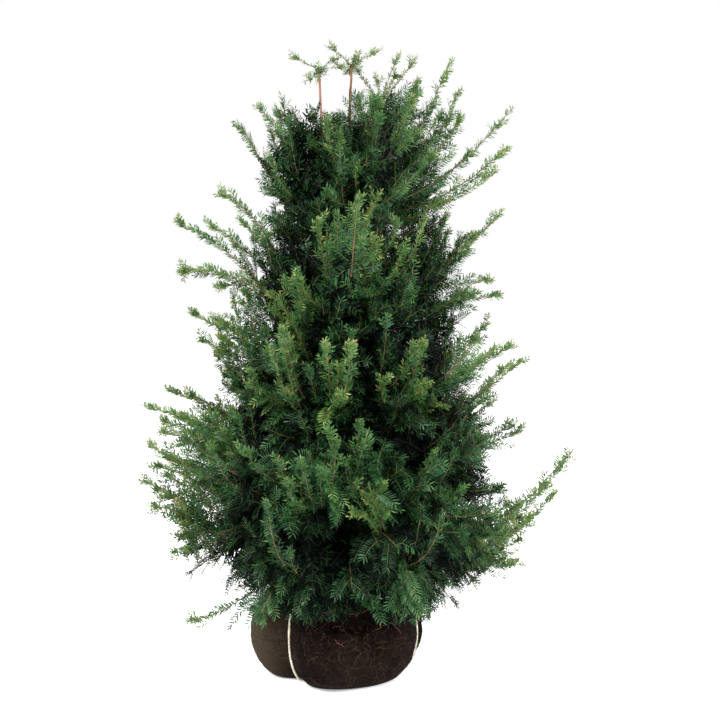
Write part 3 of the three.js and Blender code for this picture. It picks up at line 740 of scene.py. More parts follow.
FAN_HABIT = LONG_HABIT | {"spread": 17, "spacing": 52, "droop": 0, "faces": (0.2, 0.4, 0.8)}
HEAVY_HABIT = LONG_HABIT | {"needle": 19, "comb": 0.5, "side": 92, "spread": 22, "faces": (0.2, 0.4, 0.8)}
INNER_HABIT = {"width": 5.6, "pitch": 4.8, "comb": 1.0, "spread": 50, "spacing": 36,
               "droop": 0.1, "faces": (1.0, 0.2, 0), "lowest": 190}

# name, the dark and the pale end of its colour, and its gloss, from the darkest needles to the lightest
# the tones are painted light and shade: needles deep in the crown take the dark, less glossy ones as painted
# shade, and those at its outline the pale ones as painted light
NEEDLE_TONES = (
    ("shaded_needles", (1, 4, 2), (4, 11, 6), 0.03),
    ("deep_needles", (6, 22, 8), (17, 42, 18), 0.1),
    ("bluish_needles", (18, 52, 25), (33, 73, 36), 0.22),
    ("mid_needles", (40, 74, 28), (58, 95, 40), 0.3),
    ("fresh_lit_needles", (72, 91, 40), (98, 114, 56), 0.3),
    ("lit_tip_needles", (105, 108, 55), (128, 128, 77), 0.3),
    ("yellow_needles", (126, 124, 72), (149, 144, 94), 0.3),
)
needle_finishes = []
for name, dark, pale, gloss in NEEDLE_TONES:
    needles = Finish(name, Specular_IOR_Level=gloss)
    sprays = needles.noise(22, 3)
    streaks = needles.noise(260, 2)
    color = needles.mixed((sprays * 0.9 + streaks * 0.9 - 0.4).clamped(), dark, pale)
    needle_finishes.append(needles.paint(color, roughness=0.36 + streaks * 0.22))

# name and the two ends of its colour, from the youngest twigs to the oldest, and then the shaded ones
TWIG_BARKS = (
    ("green_twigs", (54, 76, 36), (84, 100, 50)),
    ("brown_twigs", (84, 66, 40), (118, 94, 58)),
    ("orange_twigs", (90, 64, 44), (132, 98, 72)),
    ("shaded_twigs", (14, 13, 8), (34, 29, 19)),
)
GREEN_BARK, BROWN_BARK, ORANGE_BARK, SHADED_BARK = range(len(TWIG_BARKS))
SHADED_LIGHT = 0.18  # a twig with less light than this has shaded bark
twig_finishes = []
for name, dark, pale in TWIG_BARKS:
    stems = Finish(name, Specular_IOR_Level=0.35)
    streaks = stems.noise(180, 3)
    color = stems.mixed(streaks, dark, pale)
    twig_finishes.append(stems.paint(color, roughness=0.5 + streaks * 0.2))


class Twigs:
    """Twigs of one piece of foliage: a curve each, the way its comb faces, and how it is needled."""

    FIELDS = "foot middle tip plane bare needle width pitch comb light radius bark".split()

    def __init__(self):
        self.rows = []

    def add(self, curve, plane, bare, habit, size, light, radius, bark):
        needles = (habit["needle"] * size, habit["width"], habit["pitch"], habit["comb"])
        bark = SHADED_BARK if light < SHADED_LIGHT else bark
        self.rows.append((*curve, plane, bare, *needles, light, radius, bark))

    def arrays(self):
        return {name: np.array(values) for name, values in zip(self.FIELDS, zip(*self.rows))}


NEEDLE_POINTS = 4
NEEDLE_FACES = 2
FEWEST_NEEDLES = 4  # on a twig
GOLDEN_TURN = 2.39996  # from one needle to the next where they stand all round, in radians
RANK_LIFT = 0.15  # how far combed needles turn out of the spray's plane
NEEDLE_LEAN = 64  # a needle's angle from its twig, in degrees
LEAN_AT_TIP = 34  # how much smaller it gets towards the twig's tip
LEAN_UNCOMBED = 8  # and where needles stand all round
EDGE_OUT = 0.72  # how far each edge stands out, as a share of a needle's width
NEEDLE_BEND = 0.03
TIP_TURN = 0.09  # how far a needle's point turns along the twig


def needle_blades(twig, rng):
    """Every needle of the twigs, four points and two triangles each: a narrow blade, bent a little."""
    length = np.linalg.norm(twig["tip"] - twig["foot"], axis=1)
    count = np.maximum(FEWEST_NEEDLES, (length * (1 - twig["bare"]) / twig["pitch"]).astype(int))
    owner = np.repeat(np.arange(len(count)), count)
    order = np.arange(len(owner)) - np.repeat(np.cumsum(count) - count, count)
    total = len(owner)
    each = {name: values[owner] for name, values in twig.items()}
    run = (order + 0.5 + rng.uniform(-0.15, 0.15, total)) / count[owner]
    curve = (each["foot"], each["middle"], each["tip"])
    place, along = on_curve(curve, each["bare"] + (1 - each["bare"]) * run)
    side, over = square_to(along, each["plane"])
    combed = rng.uniform(0, 1, total) < each["comb"]
    left = order % 2
    two_ranked = left * math.pi + np.where(left, -RANK_LIFT, RANK_LIFT) + rng.normal(0, 0.06, total)
    turn = np.where(combed, two_ranked, order * GOLDEN_TURN + rng.normal(0, 0.3, total))
    closing = np.clip((run - 0.75) / 0.25, 0, 1)
    lean = NEEDLE_LEAN - LEAN_AT_TIP * closing - LEAN_UNCOMBED * (1 - combed) + rng.normal(0, 2.5, total)
    lean = np.radians(lean)
    out = unit(np.cos(turn)[:, None] * side + np.sin(turn)[:, None] * over)
    aim = np.sin(lean)[:, None] * out + np.cos(lean)[:, None] * along
    # they are longest in the middle of a twig
    size = each["needle"] * (0.66 + 0.34 * np.sin(math.pi * np.clip(0.14 + 0.8 * run, 0, 1)))
    size = (size * rng.uniform(0.92, 1.06, total))[:, None]
    face = unit(np.cross(np.cross(aim, over + 0.12 * rng.normal(size=aim.shape)), aim))
    wide = np.cross(aim, face)
    # the two edges are widest at different shares of the length, which keeps the blade even in width
    edge = (EDGE_OUT * each["width"] * rng.uniform(0.88, 1.1, total))[:, None]
    bend = face * NEEDLE_BEND * size
    near_side = place + aim * 0.28 * size + bend - wide * edge
    far_side = place + aim * 0.68 * size + bend + wide * edge
    end = place + aim * size + along * TIP_TURN * size
    points = np.stack((place, far_side, near_side, end), axis=1)
    first = (np.arange(total) * NEEDLE_POINTS)[:, None]
    faces = np.concatenate([first + (0, 1, 2), first + (2, 1, 3)], axis=1).reshape(-1, 3)
    # and lighter towards its end, as young growth; the rest of its tone is its twig's painted light and
    # shade
    lightest = len(NEEDLE_TONES) - 1
    youth = (0.7 * (run - 0.6) + 0.9 * np.clip(run * 4 - 3, 0, 1)) * 1.5 * each["light"]
    tone = each["light"] * lightest + youth + rng.normal(0, 0.35, total)
    tone = np.clip(tone, 0, lightest).astype(int)
    return points.reshape(-1, 3), faces, np.repeat(tone, NEEDLE_FACES)


TWIG_CORNERS = (0.5, 2.6, 4.7)  # turns round it, in radians
TWIG_TAPER = 0.6


def twig_stems(twig, rings):
    """Three-sided stems of the twigs, each drawn out to a point, in lengths between the rings."""
    count = len(twig["radius"])
    curve = (twig["foot"], twig["middle"], twig["tip"])
    points = []
    for share in np.linspace(0, 1, rings):
        place, along = on_curve(curve, np.full(count, share))
        side, over = square_to(along, twig["plane"])
        r = (twig["radius"] * (1 - TWIG_TAPER * share))[:, None]
        for corner in TWIG_CORNERS:
            points.append(place + r * (math.cos(corner) * side + math.sin(corner) * over))
    faces = []
    for ring in range(rings - 1):
        for k in range(3):
            a, b = ring * 3 + k, ring * 3 + (k + 1) % 3
            faces += [(a, b, b + 3), (a, b + 3, a + 3)]
    first = (np.arange(count) * rings * 3)[:, None, None]
    faces = (first + np.array(faces)[None]).reshape(-1, 3)
    # the outer half of a twig is a step younger
    younger = np.repeat(np.arange(rings - 1) >= (rings - 1) / 2, 6)
    shaded = twig["bark"][:, None] == SHADED_BARK
    barks = np.where(shaded, SHADED_BARK, np.maximum(twig["bark"][:, None] - younger[None, :], GREEN_BARK))
    return np.stack(points, axis=1).reshape(-1, 3), faces, barks.ravel()


def spray_plane(place, along, faces, rng):
    """The normal of a spray: outwards, up and round the crown in the stated shares, square to it."""
    outward = unit(place * (1, 1, 0))
    normal = outward * faces[0] + UP * faces[1] + np.cross(UP, outward) * faces[2]
    normal = normal + 0.16 * rng.normal(size=3)
    return unit(normal - along * (normal @ along))


BALL_CLEARANCE = 6
RIM_CLEARANCE = 20


def in_ball(p):
    return off_axis(p) < BALL_RADIUS + BALL_CLEARANCE and p[2] < BALL_RIM + RIM_CLEARANCE


def arched(foot, tip, arch):
    """A curve from foot to tip, arched by a share of its length."""
    middle = (foot + tip) / 2
    middle[2] += 2 * arch * np.linalg.norm(tip - foot)
    return foot, middle, tip


def levelled(foot, tip):
    """A curve that sinks from its foot and ends nearly level."""
    return foot, foot + (tip - foot) * (0.55, 0.55, 0.95), tip


def risen(foot, tip):
    """A curve that leaves its foot outwards and ends upright."""
    return foot, foot + (tip - foot) * (0.75, 0.75, 0.25), tip


SHOOT_NEEDLES = 0.85  # how long the needles of a shoot itself are, to those of its side sprays
OLD_SHOOT = 130  # a shoot longer than this is orange-brown
SIDES_SHORTER = 0.62  # by how much side sprays get shorter along a shoot
ROSETTE_TWIGS = 5


def grow(twigs, curve, habit, light, rng, start, last=0.95, bare=0.04, rosette=False):
    """One shoot: its needles from bare onwards, side sprays from start to last, a rosette at its tip."""
    foot, _, tip = curve
    length = np.linalg.norm(tip - foot)
    place, along = on_curve(curve, 0.5)
    plane = spray_plane(place, along, habit["faces"], rng)
    bark = ORANGE_BARK if length > OLD_SHOOT else BROWN_BARK
    twigs.add(curve, plane, bare, habit, SHOOT_NEEDLES, light, 0.9 + length / 210, bark)
    t = start
    hand = rng.choice((-1, 1))
    while t < last:
        place, along = on_curve(curve, t)
        out = hand * np.cross(along, plane) + 0.25 * rng.normal(size=3)
        out = unit(out - along * (out @ along))
        spread = math.radians(rng.normal(habit["spread"], 5))
        ripe = (t - start) / (1 - start)
        # side sprays get shorter towards the tip, and are short on a short shoot
        reach = habit["side"] * (1 - SIDES_SHORTER * ripe) * min(1, 0.45 + length / 300)
        reach = reach * rng.uniform(0.72, 1.12)
        aim = math.cos(spread) * along + math.sin(spread) * out
        bow = place + aim * reach * 0.52
        end = place + aim * reach - UP * habit["droop"] * reach
        if not in_ball(end) and end[2] > habit["lowest"] + rng.normal(0, 14):
            normal = spray_plane(place, unit(end - place), habit["faces"], rng)
            # a side spray's painted light: a little lighter further along the shoot
            side_light = light + 0.1 * (ripe - 0.5) + rng.normal(0, 0.09) * (light > 0)
            twigs.add((place, bow, end), normal, 0.05, habit, 1, side_light, 0.95, GREEN_BARK)
        t += habit["spacing"] / length * rng.uniform(0.7, 1.3)
        hand = -hand
    for _ in range(ROSETTE_TWIGS if rosette else 0):
        place, along = on_curve(curve, rng.uniform(0.9, 1))
        aim = unit(along + 0.38 * rng.normal(size=3) + 0.25 * UP)
        end = place + aim * rng.uniform(14, 36)
        normal = spray_plane(place, aim, habit["faces"], rng)
        twigs.add((place, (place + end) / 2, end), normal, 0, LONG_HABIT, 0.8, light + 0.1, 0.9, GREEN_BARK)


SHADE_DEPTH = 120  # how far in from the outline needles are painted as dark as deep inside, as painted shade
SHADE_FALL = 1.6
# how much further in the shoots stay, by height, on the side away from the lean and on the side of it
THIN_BEHIND = ((900, 1060, 1460, 1540), (0, 85, 85, 20))
THIN_AHEAD = ((500, 570, 760, 1000, 1280, 1340), (0, 70, 70, 70, 70, 0))
CROWN_TOP = (1400, 0.3)  # the height that shoots round the leaders keep under, and its rise outwards
AWAY = 1000  # a stem on the other side of the trunk counts as this much too far off
FOOT_SHARE = 0.4  # how far out a long shoot leaves its stem, as a share of its reach
FOOT_PULL = 0.4  # and how much that counts next to its slope


def beyond(p):
    """How far a place is out of the crown's outline."""
    return off_axis(p) - outline(p[2], bearing_of(p))


def exposure(p):
    """0 well inside the crown and 1 at its outline."""
    return float(np.clip(beyond(p) / SHADE_DEPTH + 1, 0, 1))


def thinness(p):
    """How much further in than the outline the shoots stay near a place."""
    ahead = p[0] / off_axis(p)
    behind = max(0, -ahead) * np.interp(p[2], *THIN_BEHIND)
    return float(behind + max(0, ahead) * np.interp(p[2], *THIN_AHEAD))


def under_top(p):
    return p[2] < CROWN_TOP[0] + CROWN_TOP[1] * off_axis(p)


def low_foot(tip, climb):
    """The place on any stem from which a shoot climbs to its tip most nearly at a slope."""
    reach = off_axis(tip)
    out = stem_places[:, :2] @ tip[:2] / reach
    aside = np.sqrt(np.maximum((stem_places[:, :2] ** 2).sum(axis=1) - out**2, 0)) + AWAY * (out < 0)
    too_flat = np.abs(tip[2] - stem_places[:, 2] - climb * (reach - out))
    return stem_places[np.argmin(too_flat + aside + FOOT_PULL * np.abs(out - FOOT_SHARE * reach))]


TWIG_SEEDS = 31
DIVERGENCE = 34  # a shoot's angle from its stem, in degrees
DIVERGENCE_STEPS = (8, 85, 2)  # where along the stem it is looked for, the first past the mass's start

# Tussocks of short shoots fill the dense inside of a mass, one to each cell of a rough grid.
CORE_COLUMNS = 5
CORE_ROWS = 4
CORE_WIDTH = 0.97
CORE_INSET = 115
CORE_EDGE = 15  # how much further in the grid's edge lies
CORE_ROUGHNESS = 34
TUSSOCK = 78  # a tussock's length
TUSSOCK_DEPTH = 75  # how far inside the grid its shoots start
BARE_TUSSOCKS = 0.28  # the share that is left out

# Sprays inside a mass, darkened as painted shade: how many, the last step of the stem that they leave
# from, and the ranges of how high in the space and how far in from the outline they end.
INNER_SPRAYS = ((14, 80, (0, 1), (105, 190)), (6, 70, (0.75, 1.02), (80, 190)))
FLANK_SPRAYS = 16  # and along its sides
FLANK_STEPS = (4, 60)
FLANK_WIDTHS = (0.6, 1.05)
FLANK_HEIGHTS = (-0.04, 0.96)
FLANK_INSETS = (130, 260)
TRUNK_SPRAYS = 14  # and from the trunk
TRUNK_SPRAY_LENGTHS = (110, 210)
TRUNK_SPRAY_RISES = (-30, 130)
INNER_TOP = 1340  # they leave it below this
INNER_ARCH = 0.05

WIDTH_REACHED = 0.85  # how much of its space the tips of a mass's first shoots are spread over
HEIGHT_REACHED = 0.84
TIP_UNEVENNESS = 45
MAIN_UNEVENNESS = 75
ROSETTE_EXPOSURE = 0.6  # a main shoot that ends in more light than this has a rosette
OVERREACH = 45  # how far an upright shoot may stand out of the crown's outline
STANDING_RISE = 120

# Shoots that stand up from the outside of the crown: bearing, height and reach of the tip.
STANDING_SHOOTS = (
    (281, 1314, 255), (254, 1046, 311), (250, 916, 351), (272, 832, 345), (289, 811, 364), (303, 897, 383),
    (280, 659, 386), (302, 638, 436), (311, 543, 453), (277, 561, 403), (258, 520, 430), (240, 640, 420),
    (262, 1180, 290), (300, 1120, 330), (235, 1330, 270), (315, 1340, 330), (265, 1420, 250),
    (120, 700, 370), (150, 1000, 340), (60, 900, 380), (90, 1250, 290), (30, 1180, 350), (140, 1350, 250),
    (45, 600, 430), (352, 1525, 312), (350, 1548, 208), (335, 1250, 275), (345, 1215, 290), (322, 1190, 280),
)

# Long shoots that make the outline ragged: the same, and how many more stand beside each.
LONG_SHOOTS = (
    (186, 140, 390, 0), (166, 288, 468, 2), (190, 372, 416, 3), (204, 477, 496, 3), (180, 506, 516, 4),
    (192, 565, 476, 4), (170, 586, 524, 3), (200, 658, 462, 4), (187, 712, 493, 3), (176, 747, 451, 3),
    (200, 890, 365, 2), (172, 951, 390, 2), (192, 1066, 410, 2), (184, 1186, 407, 1), (160, 1204, 281, 1),
    (196, 1262, 308, 1), (175, 1496, 205, 2),
    (4, 271, 467, 2), (350, 366, 481, 3), (354, 492, 581, 3), (347, 612, 620, 4), (6, 636, 501, 2),
    (14, 715, 447, 2), (2, 829, 492, 2), (344, 872, 455, 2), (12, 928, 422, 2), (352, 1006, 415, 2),
    (4, 1210, 424, 2), (340, 1373, 454, 2), (352, 1468, 440, 2), (20, 1485, 355, 2), (352, 1604, 295, 1),
    (300, 800, 440, 2), (276, 520, 490, 2), (250, 1010, 420, 2), (92, 600, 500, 2), (70, 1180, 400, 2),
    (110, 880, 430, 2), (285, 1230, 380, 1), (60, 420, 480, 2),
)
# the painted light of the long shoots, which reach the outline
LONG_LIGHT = 0.56
NOD = 0.1  # how far a long shoot arches, as a share of its length
CLIMB = 0.8  # its slope
CLIMB_AHEAD = 0.62  # and on the fuller side, where it is straight
TURN_UP = -0.14  # there, a high one and one that reaches far sag, and turn up at the end
TURN_UP_HEIGHT = 1300
TURN_UP_REACH = 550
HEAVY_REACH = 600  # one that reaches further still is heavy, and sags the most
HEAVY_NOD = -0.29
HEAVY_LAST = 0.95
BESIDE_SHARES = (0.5, 0.96)  # how far along it those beside it end
BESIDE_SCATTER = {"foot": 24, "tip": 26}
BESIDE_SHORTER = 20
BESIDE_START = 0.3
BESIDE_LAST = 0.75
BESIDE_LAST_FAR = 0.85


class Mass:
    """One mass of foliage: the shoots that grow from its stem and keep to its space."""

    def __init__(self, twigs, space):
        self.twigs = twigs
        self.space = space
        self.tier = space.tier
        self.habit = HABITS[space.tier_index]
        self.draw = seeded(SEED + TIER_SEEDS * space.tier_index + space.index)
        self.rng = np.random.default_rng(SEED + TWIG_SEEDS * space.tier_index + space.index)
        self.line, self.meet = bough_line(space)

    def fill(self):
        self.tussocks()
        self.inner_sprays()
        self.leading_shoot()
        self.upright_shoots(self.main_shoots())
        self.standing_shoots()
        self.long_shoots()

    def grow(self, curve, habit, light, start, **more):
        grow(self.twigs, curve, habit, light, self.rng, start, **more)

    def shade(self, p):
        """How light needles are painted near a place: painted shade deep in the crown, painted light at its
        outline.
        """
        deep = self.habit["deep"]
        return self.habit["light"] * (deep + (1 - deep) * exposure(p) ** SHADE_FALL)

    def foot_for(self, tip):
        """Where on its stem a shoot has to leave to diverge from it by the set angle."""
        past_meet, end, step = DIVERGENCE_STEPS
        foot = self.meet + past_meet
        for index in range(self.meet + past_meet, end, step):
            ahead = unit(self.line[index + 1] - self.line[index])
            cosine = np.clip(ahead @ unit(tip - self.line[index]), -1, 1)
            if math.degrees(math.acos(cosine)) < DIVERGENCE:
                foot = index
        return self.line[foot]

    def tussocks(self):
        draw = self.draw
        grid = []
        for i in range(CORE_COLUMNS + 1):
            column = []
            for j in range(CORE_ROWS + 1):
                edge = i in (0, CORE_COLUMNS) or j in (0, CORE_ROWS)
                inset = CORE_INSET + CORE_ROUGHNESS * (draw() - 0.5) + (CORE_EDGE if edge else 0)
                width_share = CORE_WIDTH * (2 * i / CORE_COLUMNS - 1)
                column.append(self.space.within(width_share, j / CORE_ROWS, inset))
            grid.append(column)
        for i in range(CORE_COLUMNS):
            for j in range(CORE_ROWS):
                middle = (grid[i][j] + grid[i][j + 1] + grid[i + 1][j] + grid[i + 1][j + 1]) / 4
                out = unit(middle * (1, 1, 0))
                out[2] = -0.25 if self.tier["arch"] > 0 else 0.55
                out = unit(out + 0.7 * np.array([draw() - 0.5, draw() - 0.5, draw() - 0.5]))
                apex = middle + out * TUSSOCK * (0.6 + 0.6 * draw())
                if self.rng.uniform() >= BARE_TUSSOCKS:
                    self.tussock(middle - TUSSOCK_DEPTH * out, out, apex)

    def tussock(self, root, out, apex):
        for _ in range(self.habit["tussock"]):
            foot = root + self.rng.normal(0, 16, 3)
            tip = apex + self.rng.normal(0, 22, 3) + out * self.rng.uniform(-45, 10)
            self.grow(arched(foot, tip, self.tier["arch"]), self.habit, self.shade(tip), 0.3)

    def inner_sprays(self):
        """Sprays darkened as painted shade in the middle of the mass, along its sides, and from the trunk.
        """
        space = self.space
        rng = self.rng
        for count, last_step, heights, insets in INNER_SPRAYS:
            for _ in range(count):
                foot = self.line[rng.integers(self.meet + 2, last_step)]
                tip = space.within(rng.uniform(-1, 1), rng.uniform(*heights), rng.uniform(*insets))
                self.inner_spray(foot, tip)
        for _ in range(FLANK_SPRAYS):
            foot = self.line[rng.integers(*FLANK_STEPS)]
            aside = rng.choice((-1, 1)) * rng.uniform(*FLANK_WIDTHS)
            tip = space.within(aside, rng.uniform(*FLANK_HEIGHTS), rng.uniform(*FLANK_INSETS))
            self.inner_spray(foot, tip)
        least_rise, most_rise = TRUNK_SPRAY_RISES
        for _ in range(TRUNK_SPRAYS):
            foot = trunk_at(rng.uniform(space.floor["height"], min(space.ceiling["height"], INNER_TOP)))
            rise = rng.uniform(least_rise, min(most_rise, INNER_TOP + 60 - foot[2]))
            bearing = space.bearing + space.half * rng.uniform(-1, 1)
            self.inner_spray(foot, foot + polar(bearing, rng.uniform(*TRUNK_SPRAY_LENGTHS), rise))

    def inner_spray(self, foot, tip):
        inner = INNER_HABIT | {"needle": self.habit["inner_needle"], "side": self.habit["inner_side"]}
        # their needles take the tier's darkest painted shade
        self.grow(arched(foot, tip, INNER_ARCH), inner, self.habit["light"] * self.habit["deep"], 0.25)

    def leading_shoot(self):
        """The stem's own needles and side sprays, in two lengths."""
        end = LINE_STEPS - 1
        half_way = (self.meet + end) // 2
        for first, last in ((self.meet, half_way), (half_way, end)):
            foot, tip = self.line[first], self.line[last]
            middle = 2 * self.line[(first + last) // 2] - (foot + tip) / 2
            self.grow((foot, middle, tip), self.habit, self.shade(tip), 0.2, rosette=last == end)

    def main_shoots(self):
        """Shoots spread through the space, the first of them where the solid mass has its own."""
        rng = self.rng
        tips = []
        for i in range(self.tier["shoots"]):
            place = ((2 * i + 1) / self.tier["shoots"] - 1) * WIDTH_REACHED
            width_share = place + 0.16 * (self.draw() - 0.5)
            share = 0.5 + HEIGHT_REACHED * ((i * GOLDEN + 0.3 * self.draw()) % 1 - 0.5)
            tips.append(self.space.within(width_share, share, TIP_UNEVENNESS * self.draw()))
        for _ in range(self.habit["main"]):
            where = (rng.uniform(-0.95, 0.95), rng.uniform(0.05, 0.95))
            inset = self.habit["inset"] + MAIN_UNEVENNESS * rng.uniform()
            tip = self.space.within(*where, inset + thinness(self.space.within(*where, inset)))
            if under_top(tip):
                tips.append(tip)
        mains = [arched(self.foot_for(tip), tip, self.tier["arch"]) for tip in tips]
        for curve in mains:
            tip = curve[-1]
            rosette = exposure(tip) > ROSETTE_EXPOSURE
            self.grow(curve, self.habit, self.shade(tip) + 0.04, 0.3, rosette=rosette)
        return mains

    def upright_shoots(self, mains):
        """Shoots that stand up from the main ones."""
        rng = self.rng
        for _ in range(self.habit["upright"]):
            foot, _ = on_curve(mains[rng.integers(len(mains))], rng.uniform(0.35, 0.8))
            aim = unit(unit(foot * (1, 1, 0)) * rng.uniform(0.3, 1.5) + UP + 0.15 * rng.normal(size=3))
            tip = foot + aim * rng.uniform(120, 240)
            if beyond(tip) + thinness(tip) < OVERREACH and under_top(tip):
                self.grow(risen(foot, tip), LONG_HABIT, self.shade(tip) + 0.02, 0.2, rosette=True)

    def standing_shoots(self):
        light = self.habit["light"] + 0.02
        for bearing, height, reach in STANDING_SHOOTS:
            tip = polar(bearing, reach, height)
            if self.space.holds(tip):
                curve = risen(self.foot_for(tip - UP * STANDING_RISE), tip)
                self.grow(curve, LONG_HABIT, light, self.habit["standing_start"], rosette=True)

    def long_shoots(self):
        for bearing, height, reach, beside in LONG_SHOOTS:
            tip = polar(bearing, reach, height)
            if self.space.holds(tip):
                on_full_side = math.cos(math.radians(bearing)) > 0.5
                self.long_shoot(tip, reach, on_full_side, beside)

    def long_shoot(self, tip, reach, on_full_side, beside):
        """A long shoot and those beside it, which run nearly along it."""
        habit = LONG_HABIT if self.tier["name"] == "crown" else FAN_HABIT
        habit = habit | {"side": self.habit["long_side"]}
        last = self.habit["long_last"]
        if reach > HEAVY_REACH:
            foot = self.line[self.meet]
            nod, habit, last = HEAVY_NOD, HEAVY_HABIT, HEAVY_LAST
        elif on_full_side:
            foot = low_foot(tip, CLIMB_AHEAD)
            nod = TURN_UP if tip[2] > TURN_UP_HEIGHT or reach > TURN_UP_REACH else 0
        else:
            foot = low_foot(tip, CLIMB)
            nod = NOD
        curve = arched(foot, tip, nod) if tip[2] > foot[2] else levelled(self.line[self.meet], tip)
        start, bare = self.habit["long_start"], self.habit["long_bare"]
        self.grow(curve, habit, LONG_LIGHT, start, rosette=True, bare=bare, last=last)
        last = BESIDE_LAST_FAR if reach > TURN_UP_REACH else BESIDE_LAST
        for _ in range(beside):
            end, _ = on_curve(curve, self.rng.uniform(*BESIDE_SHARES))
            end = end + self.rng.normal(0, BESIDE_SCATTER["tip"], 3)
            end[:2] *= min(1, (reach - BESIDE_SHORTER) / off_axis(end))
            root = foot + self.rng.normal(0, BESIDE_SCATTER["foot"], 3)
            self.grow(arched(root, end, nod), habit, LONG_LIGHT, BESIDE_START, rosette=True, last=last)


MOST_TRIANGLES = 190000  # in one mesh of needles
STOUT = 1  # twigs with a greater radius have more rings
STOUT_RINGS = 6
THIN_RINGS = 3
FOLIAGE_SEED = 70


def foliage_pieces(name, twigs, nodes, seed):
    """Needles and twigs as joined meshes, the needles in pieces of under 200,000 triangles."""
    fields = twigs.arrays()
    points, faces, tones = needle_blades(fields, np.random.default_rng(seed))
    for number, first in enumerate(range(0, len(faces), MOST_TRIANGLES)):
        some = slice(first, first + MOST_TRIANGLES)
        first_point = first // NEEDLE_FACES * NEEDLE_POINTS
        end_point = first_point + len(faces[some]) // NEEDLE_FACES * NEEDLE_POINTS
        some_points = points[first_point:end_point]
        some_faces = faces[some] - first_point
        label = f"{name}_needles_{number + 1}"
        mesh_piece(label, some_points, some_faces, needle_finishes, tones[some])
        "needles_" + name
    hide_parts(*nodes)
    stout = fields["radius"] > STOUT
    parts = [
        twig_stems({field: values[chosen] for field, values in fields.items()}, rings)
        for chosen, rings in ((stout, STOUT_RINGS), (~stout, THIN_RINGS))
    ]
    stem_points, stem_faces = joined([part[:2] for part in parts])
    barks = np.concatenate([part[2] for part in parts])
    stems = mesh_piece(f"{name}_twigs", stem_points, stem_faces, twig_finishes, barks)


for tier_index, tier in enumerate(TIERS):
    twigs = Twigs()
    own = [space for space in spaces if space.tier_index == tier_index]
    for space in own:
        Mass(twigs, space).fill()
    nodes = [f"needles_{tier['name']}_{space.index + 1}" for space in own]
    foliage_pieces(tier["name"], twigs, nodes, FOLIAGE_SEED + tier_index)

# ---- Tufts on the leaders ----
# The trunk and the side leaders each end in a fork of short upright shoots, with the youngest and
# yellowest needles of the plant.

TUFTS = {
    "centre": ((-6, -22, 1638), (92, 14, 1636), (50, -56, 1606), (30, 60, 1604)),
    "left": ((-103, -24, 1616), (-12, 24, 1624), (2, -60, 1590), (-70, 50, 1578)),
    "right": ((152, 24, 1616), (194, 0, 1606), (55, -60, 1576), (107, 60, 1572), (150, -50, 1566)),
}
TUFT_HABIT = {"needle": 12, "width": 2.4, "pitch": 2.4, "comb": 0.3, "side": 26, "spread": 40,
              "spacing": 30, "droop": -0.15, "faces": (0.4, 0.6, 0), "lowest": 0}
TUFT_LIGHT = 0.66
FORK_TWIGS = 9
FORK_LIGHT = 0.62
TRUNK_SHOOTS = 44
TRUNK_SHOOT_HEIGHTS = (1060, 1380)
TRUNK_SHOOT_TURN = 137.5  # from one to the next, in degrees
TUFT_SEED = 90
leader_tips = {name: np.array(plan["tip"], dtype=float) for name, plan in LEADERS.items()}
leader_tips["centre"] = trunk_at(TRUNK_TOP)
twigs = Twigs()
rng = np.random.default_rng(SEED)
for name, tips in TUFTS.items():
    for tip in tips:
        curve = arched(leader_tips[name], np.array(tip, dtype=float), 0.04)
        grow(twigs, curve, TUFT_HABIT, TUFT_LIGHT, rng, 0.15, rosette=True)
    for _ in range(FORK_TWIGS):
        foot = leader_tips[name] - UP * rng.uniform(0, 14)
        end = foot + unit(rng.normal(size=3) + 0.7 * UP) * rng.uniform(18, 36)
        twigs.add(arched(foot, end, 0), UP, 0, TUFT_HABIT, 1, FORK_LIGHT, 0.9, GREEN_BARK)
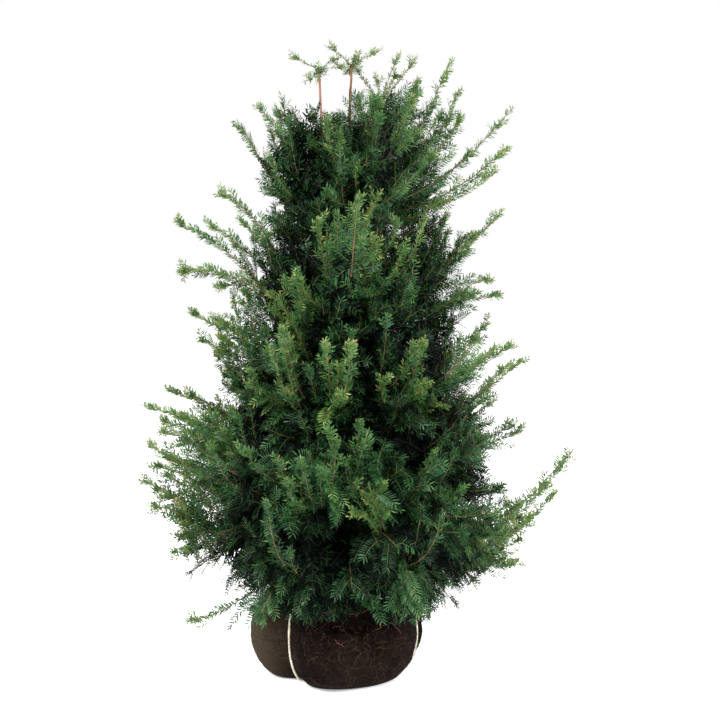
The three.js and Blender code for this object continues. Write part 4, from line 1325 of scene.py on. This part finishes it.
# short shoots that stand off the trunk between the crown's boughs
for step in range(TRUNK_SHOOTS):
    foot = trunk_at(np.interp(step, (0, TRUNK_SHOOTS - 1), TRUNK_SHOOT_HEIGHTS))
    aim = polar(step * TRUNK_SHOOT_TURN, rng.uniform(60, 110), rng.uniform(60, 105))
    grow(twigs, arched(foot, foot + aim, -0.06), HABITS[-1], rng.uniform(0.3, 0.5), rng, 0.2, rosette=True)
foliage_pieces("top", twigs, [f"needles_top_{name}" for name in TUFTS], TUFT_SEED)

# ---- Floor and light ----
# A pale floor that runs far back, a bright even sky, and two large soft lamps above.

FLOOR_REACH = 30000
FLOOR_GLOW = 0.35
SKY_STRENGTH = 1.0
LAMP_AIM = (0, 0, 0.8)
floor_finish = Finish("pale_floor", Roughness=0.9, Specular_IOR_Level=0.1)
floor_finish.paint(floor_finish.mixed(floor_finish.noise(2, 2), (250, 250, 250), (254, 254, 254)))
floor_finish.shader.inputs["Emission Color"].default_value = (1, 1, 1, 1)
floor_finish.shader.inputs["Emission Strength"].default_value = FLOOR_GLOW
corners = [(x * FLOOR_REACH, y * FLOOR_REACH, 0) for x, y in ((-1, -1), (1, -1), (1, 1), (-1, 1))]
floor = mesh_piece("floor", corners, [(0, 1, 2, 3)], [floor_finish.material])
floor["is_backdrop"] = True

world = bpy.data.worlds.new("studio")
world.use_nodes = True
sky = world.node_tree.nodes["Background"]
sky.inputs["Color"].default_value = (1, 1, 1, 1)
sky.inputs["Strength"].default_value = SKY_STRENGTH
bpy.context.scene.world = world


def soft_lamp(name, place, size, power):
    """A square lamp in metres and watts, turned to the middle of the plant."""
    lamp = bpy.data.lights.new(name, "AREA")
    lamp.size = size
    lamp.energy = power
    holder = bpy.data.objects.new(name, lamp)
    holder.location = place
    aim = np.array(LAMP_AIM) - np.array(place)
    tilt = math.acos(aim[2] / np.linalg.norm(aim)) - math.pi
    holder.rotation_euler = (tilt, 0, math.atan2(aim[1], aim[0]) + math.pi / 2)
    bpy.context.collection.objects.link(holder)


soft_lamp("key", (-2.0, -2.4, 3.8), 2.2, 350)
soft_lamp("fill", (2.6, -2.2, 2.6), 2.4, 190)

boxes = {"cad": cad_box, "visual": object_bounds()}
{name: [list(corner) for corner in box] for name, box in boxes.items()}
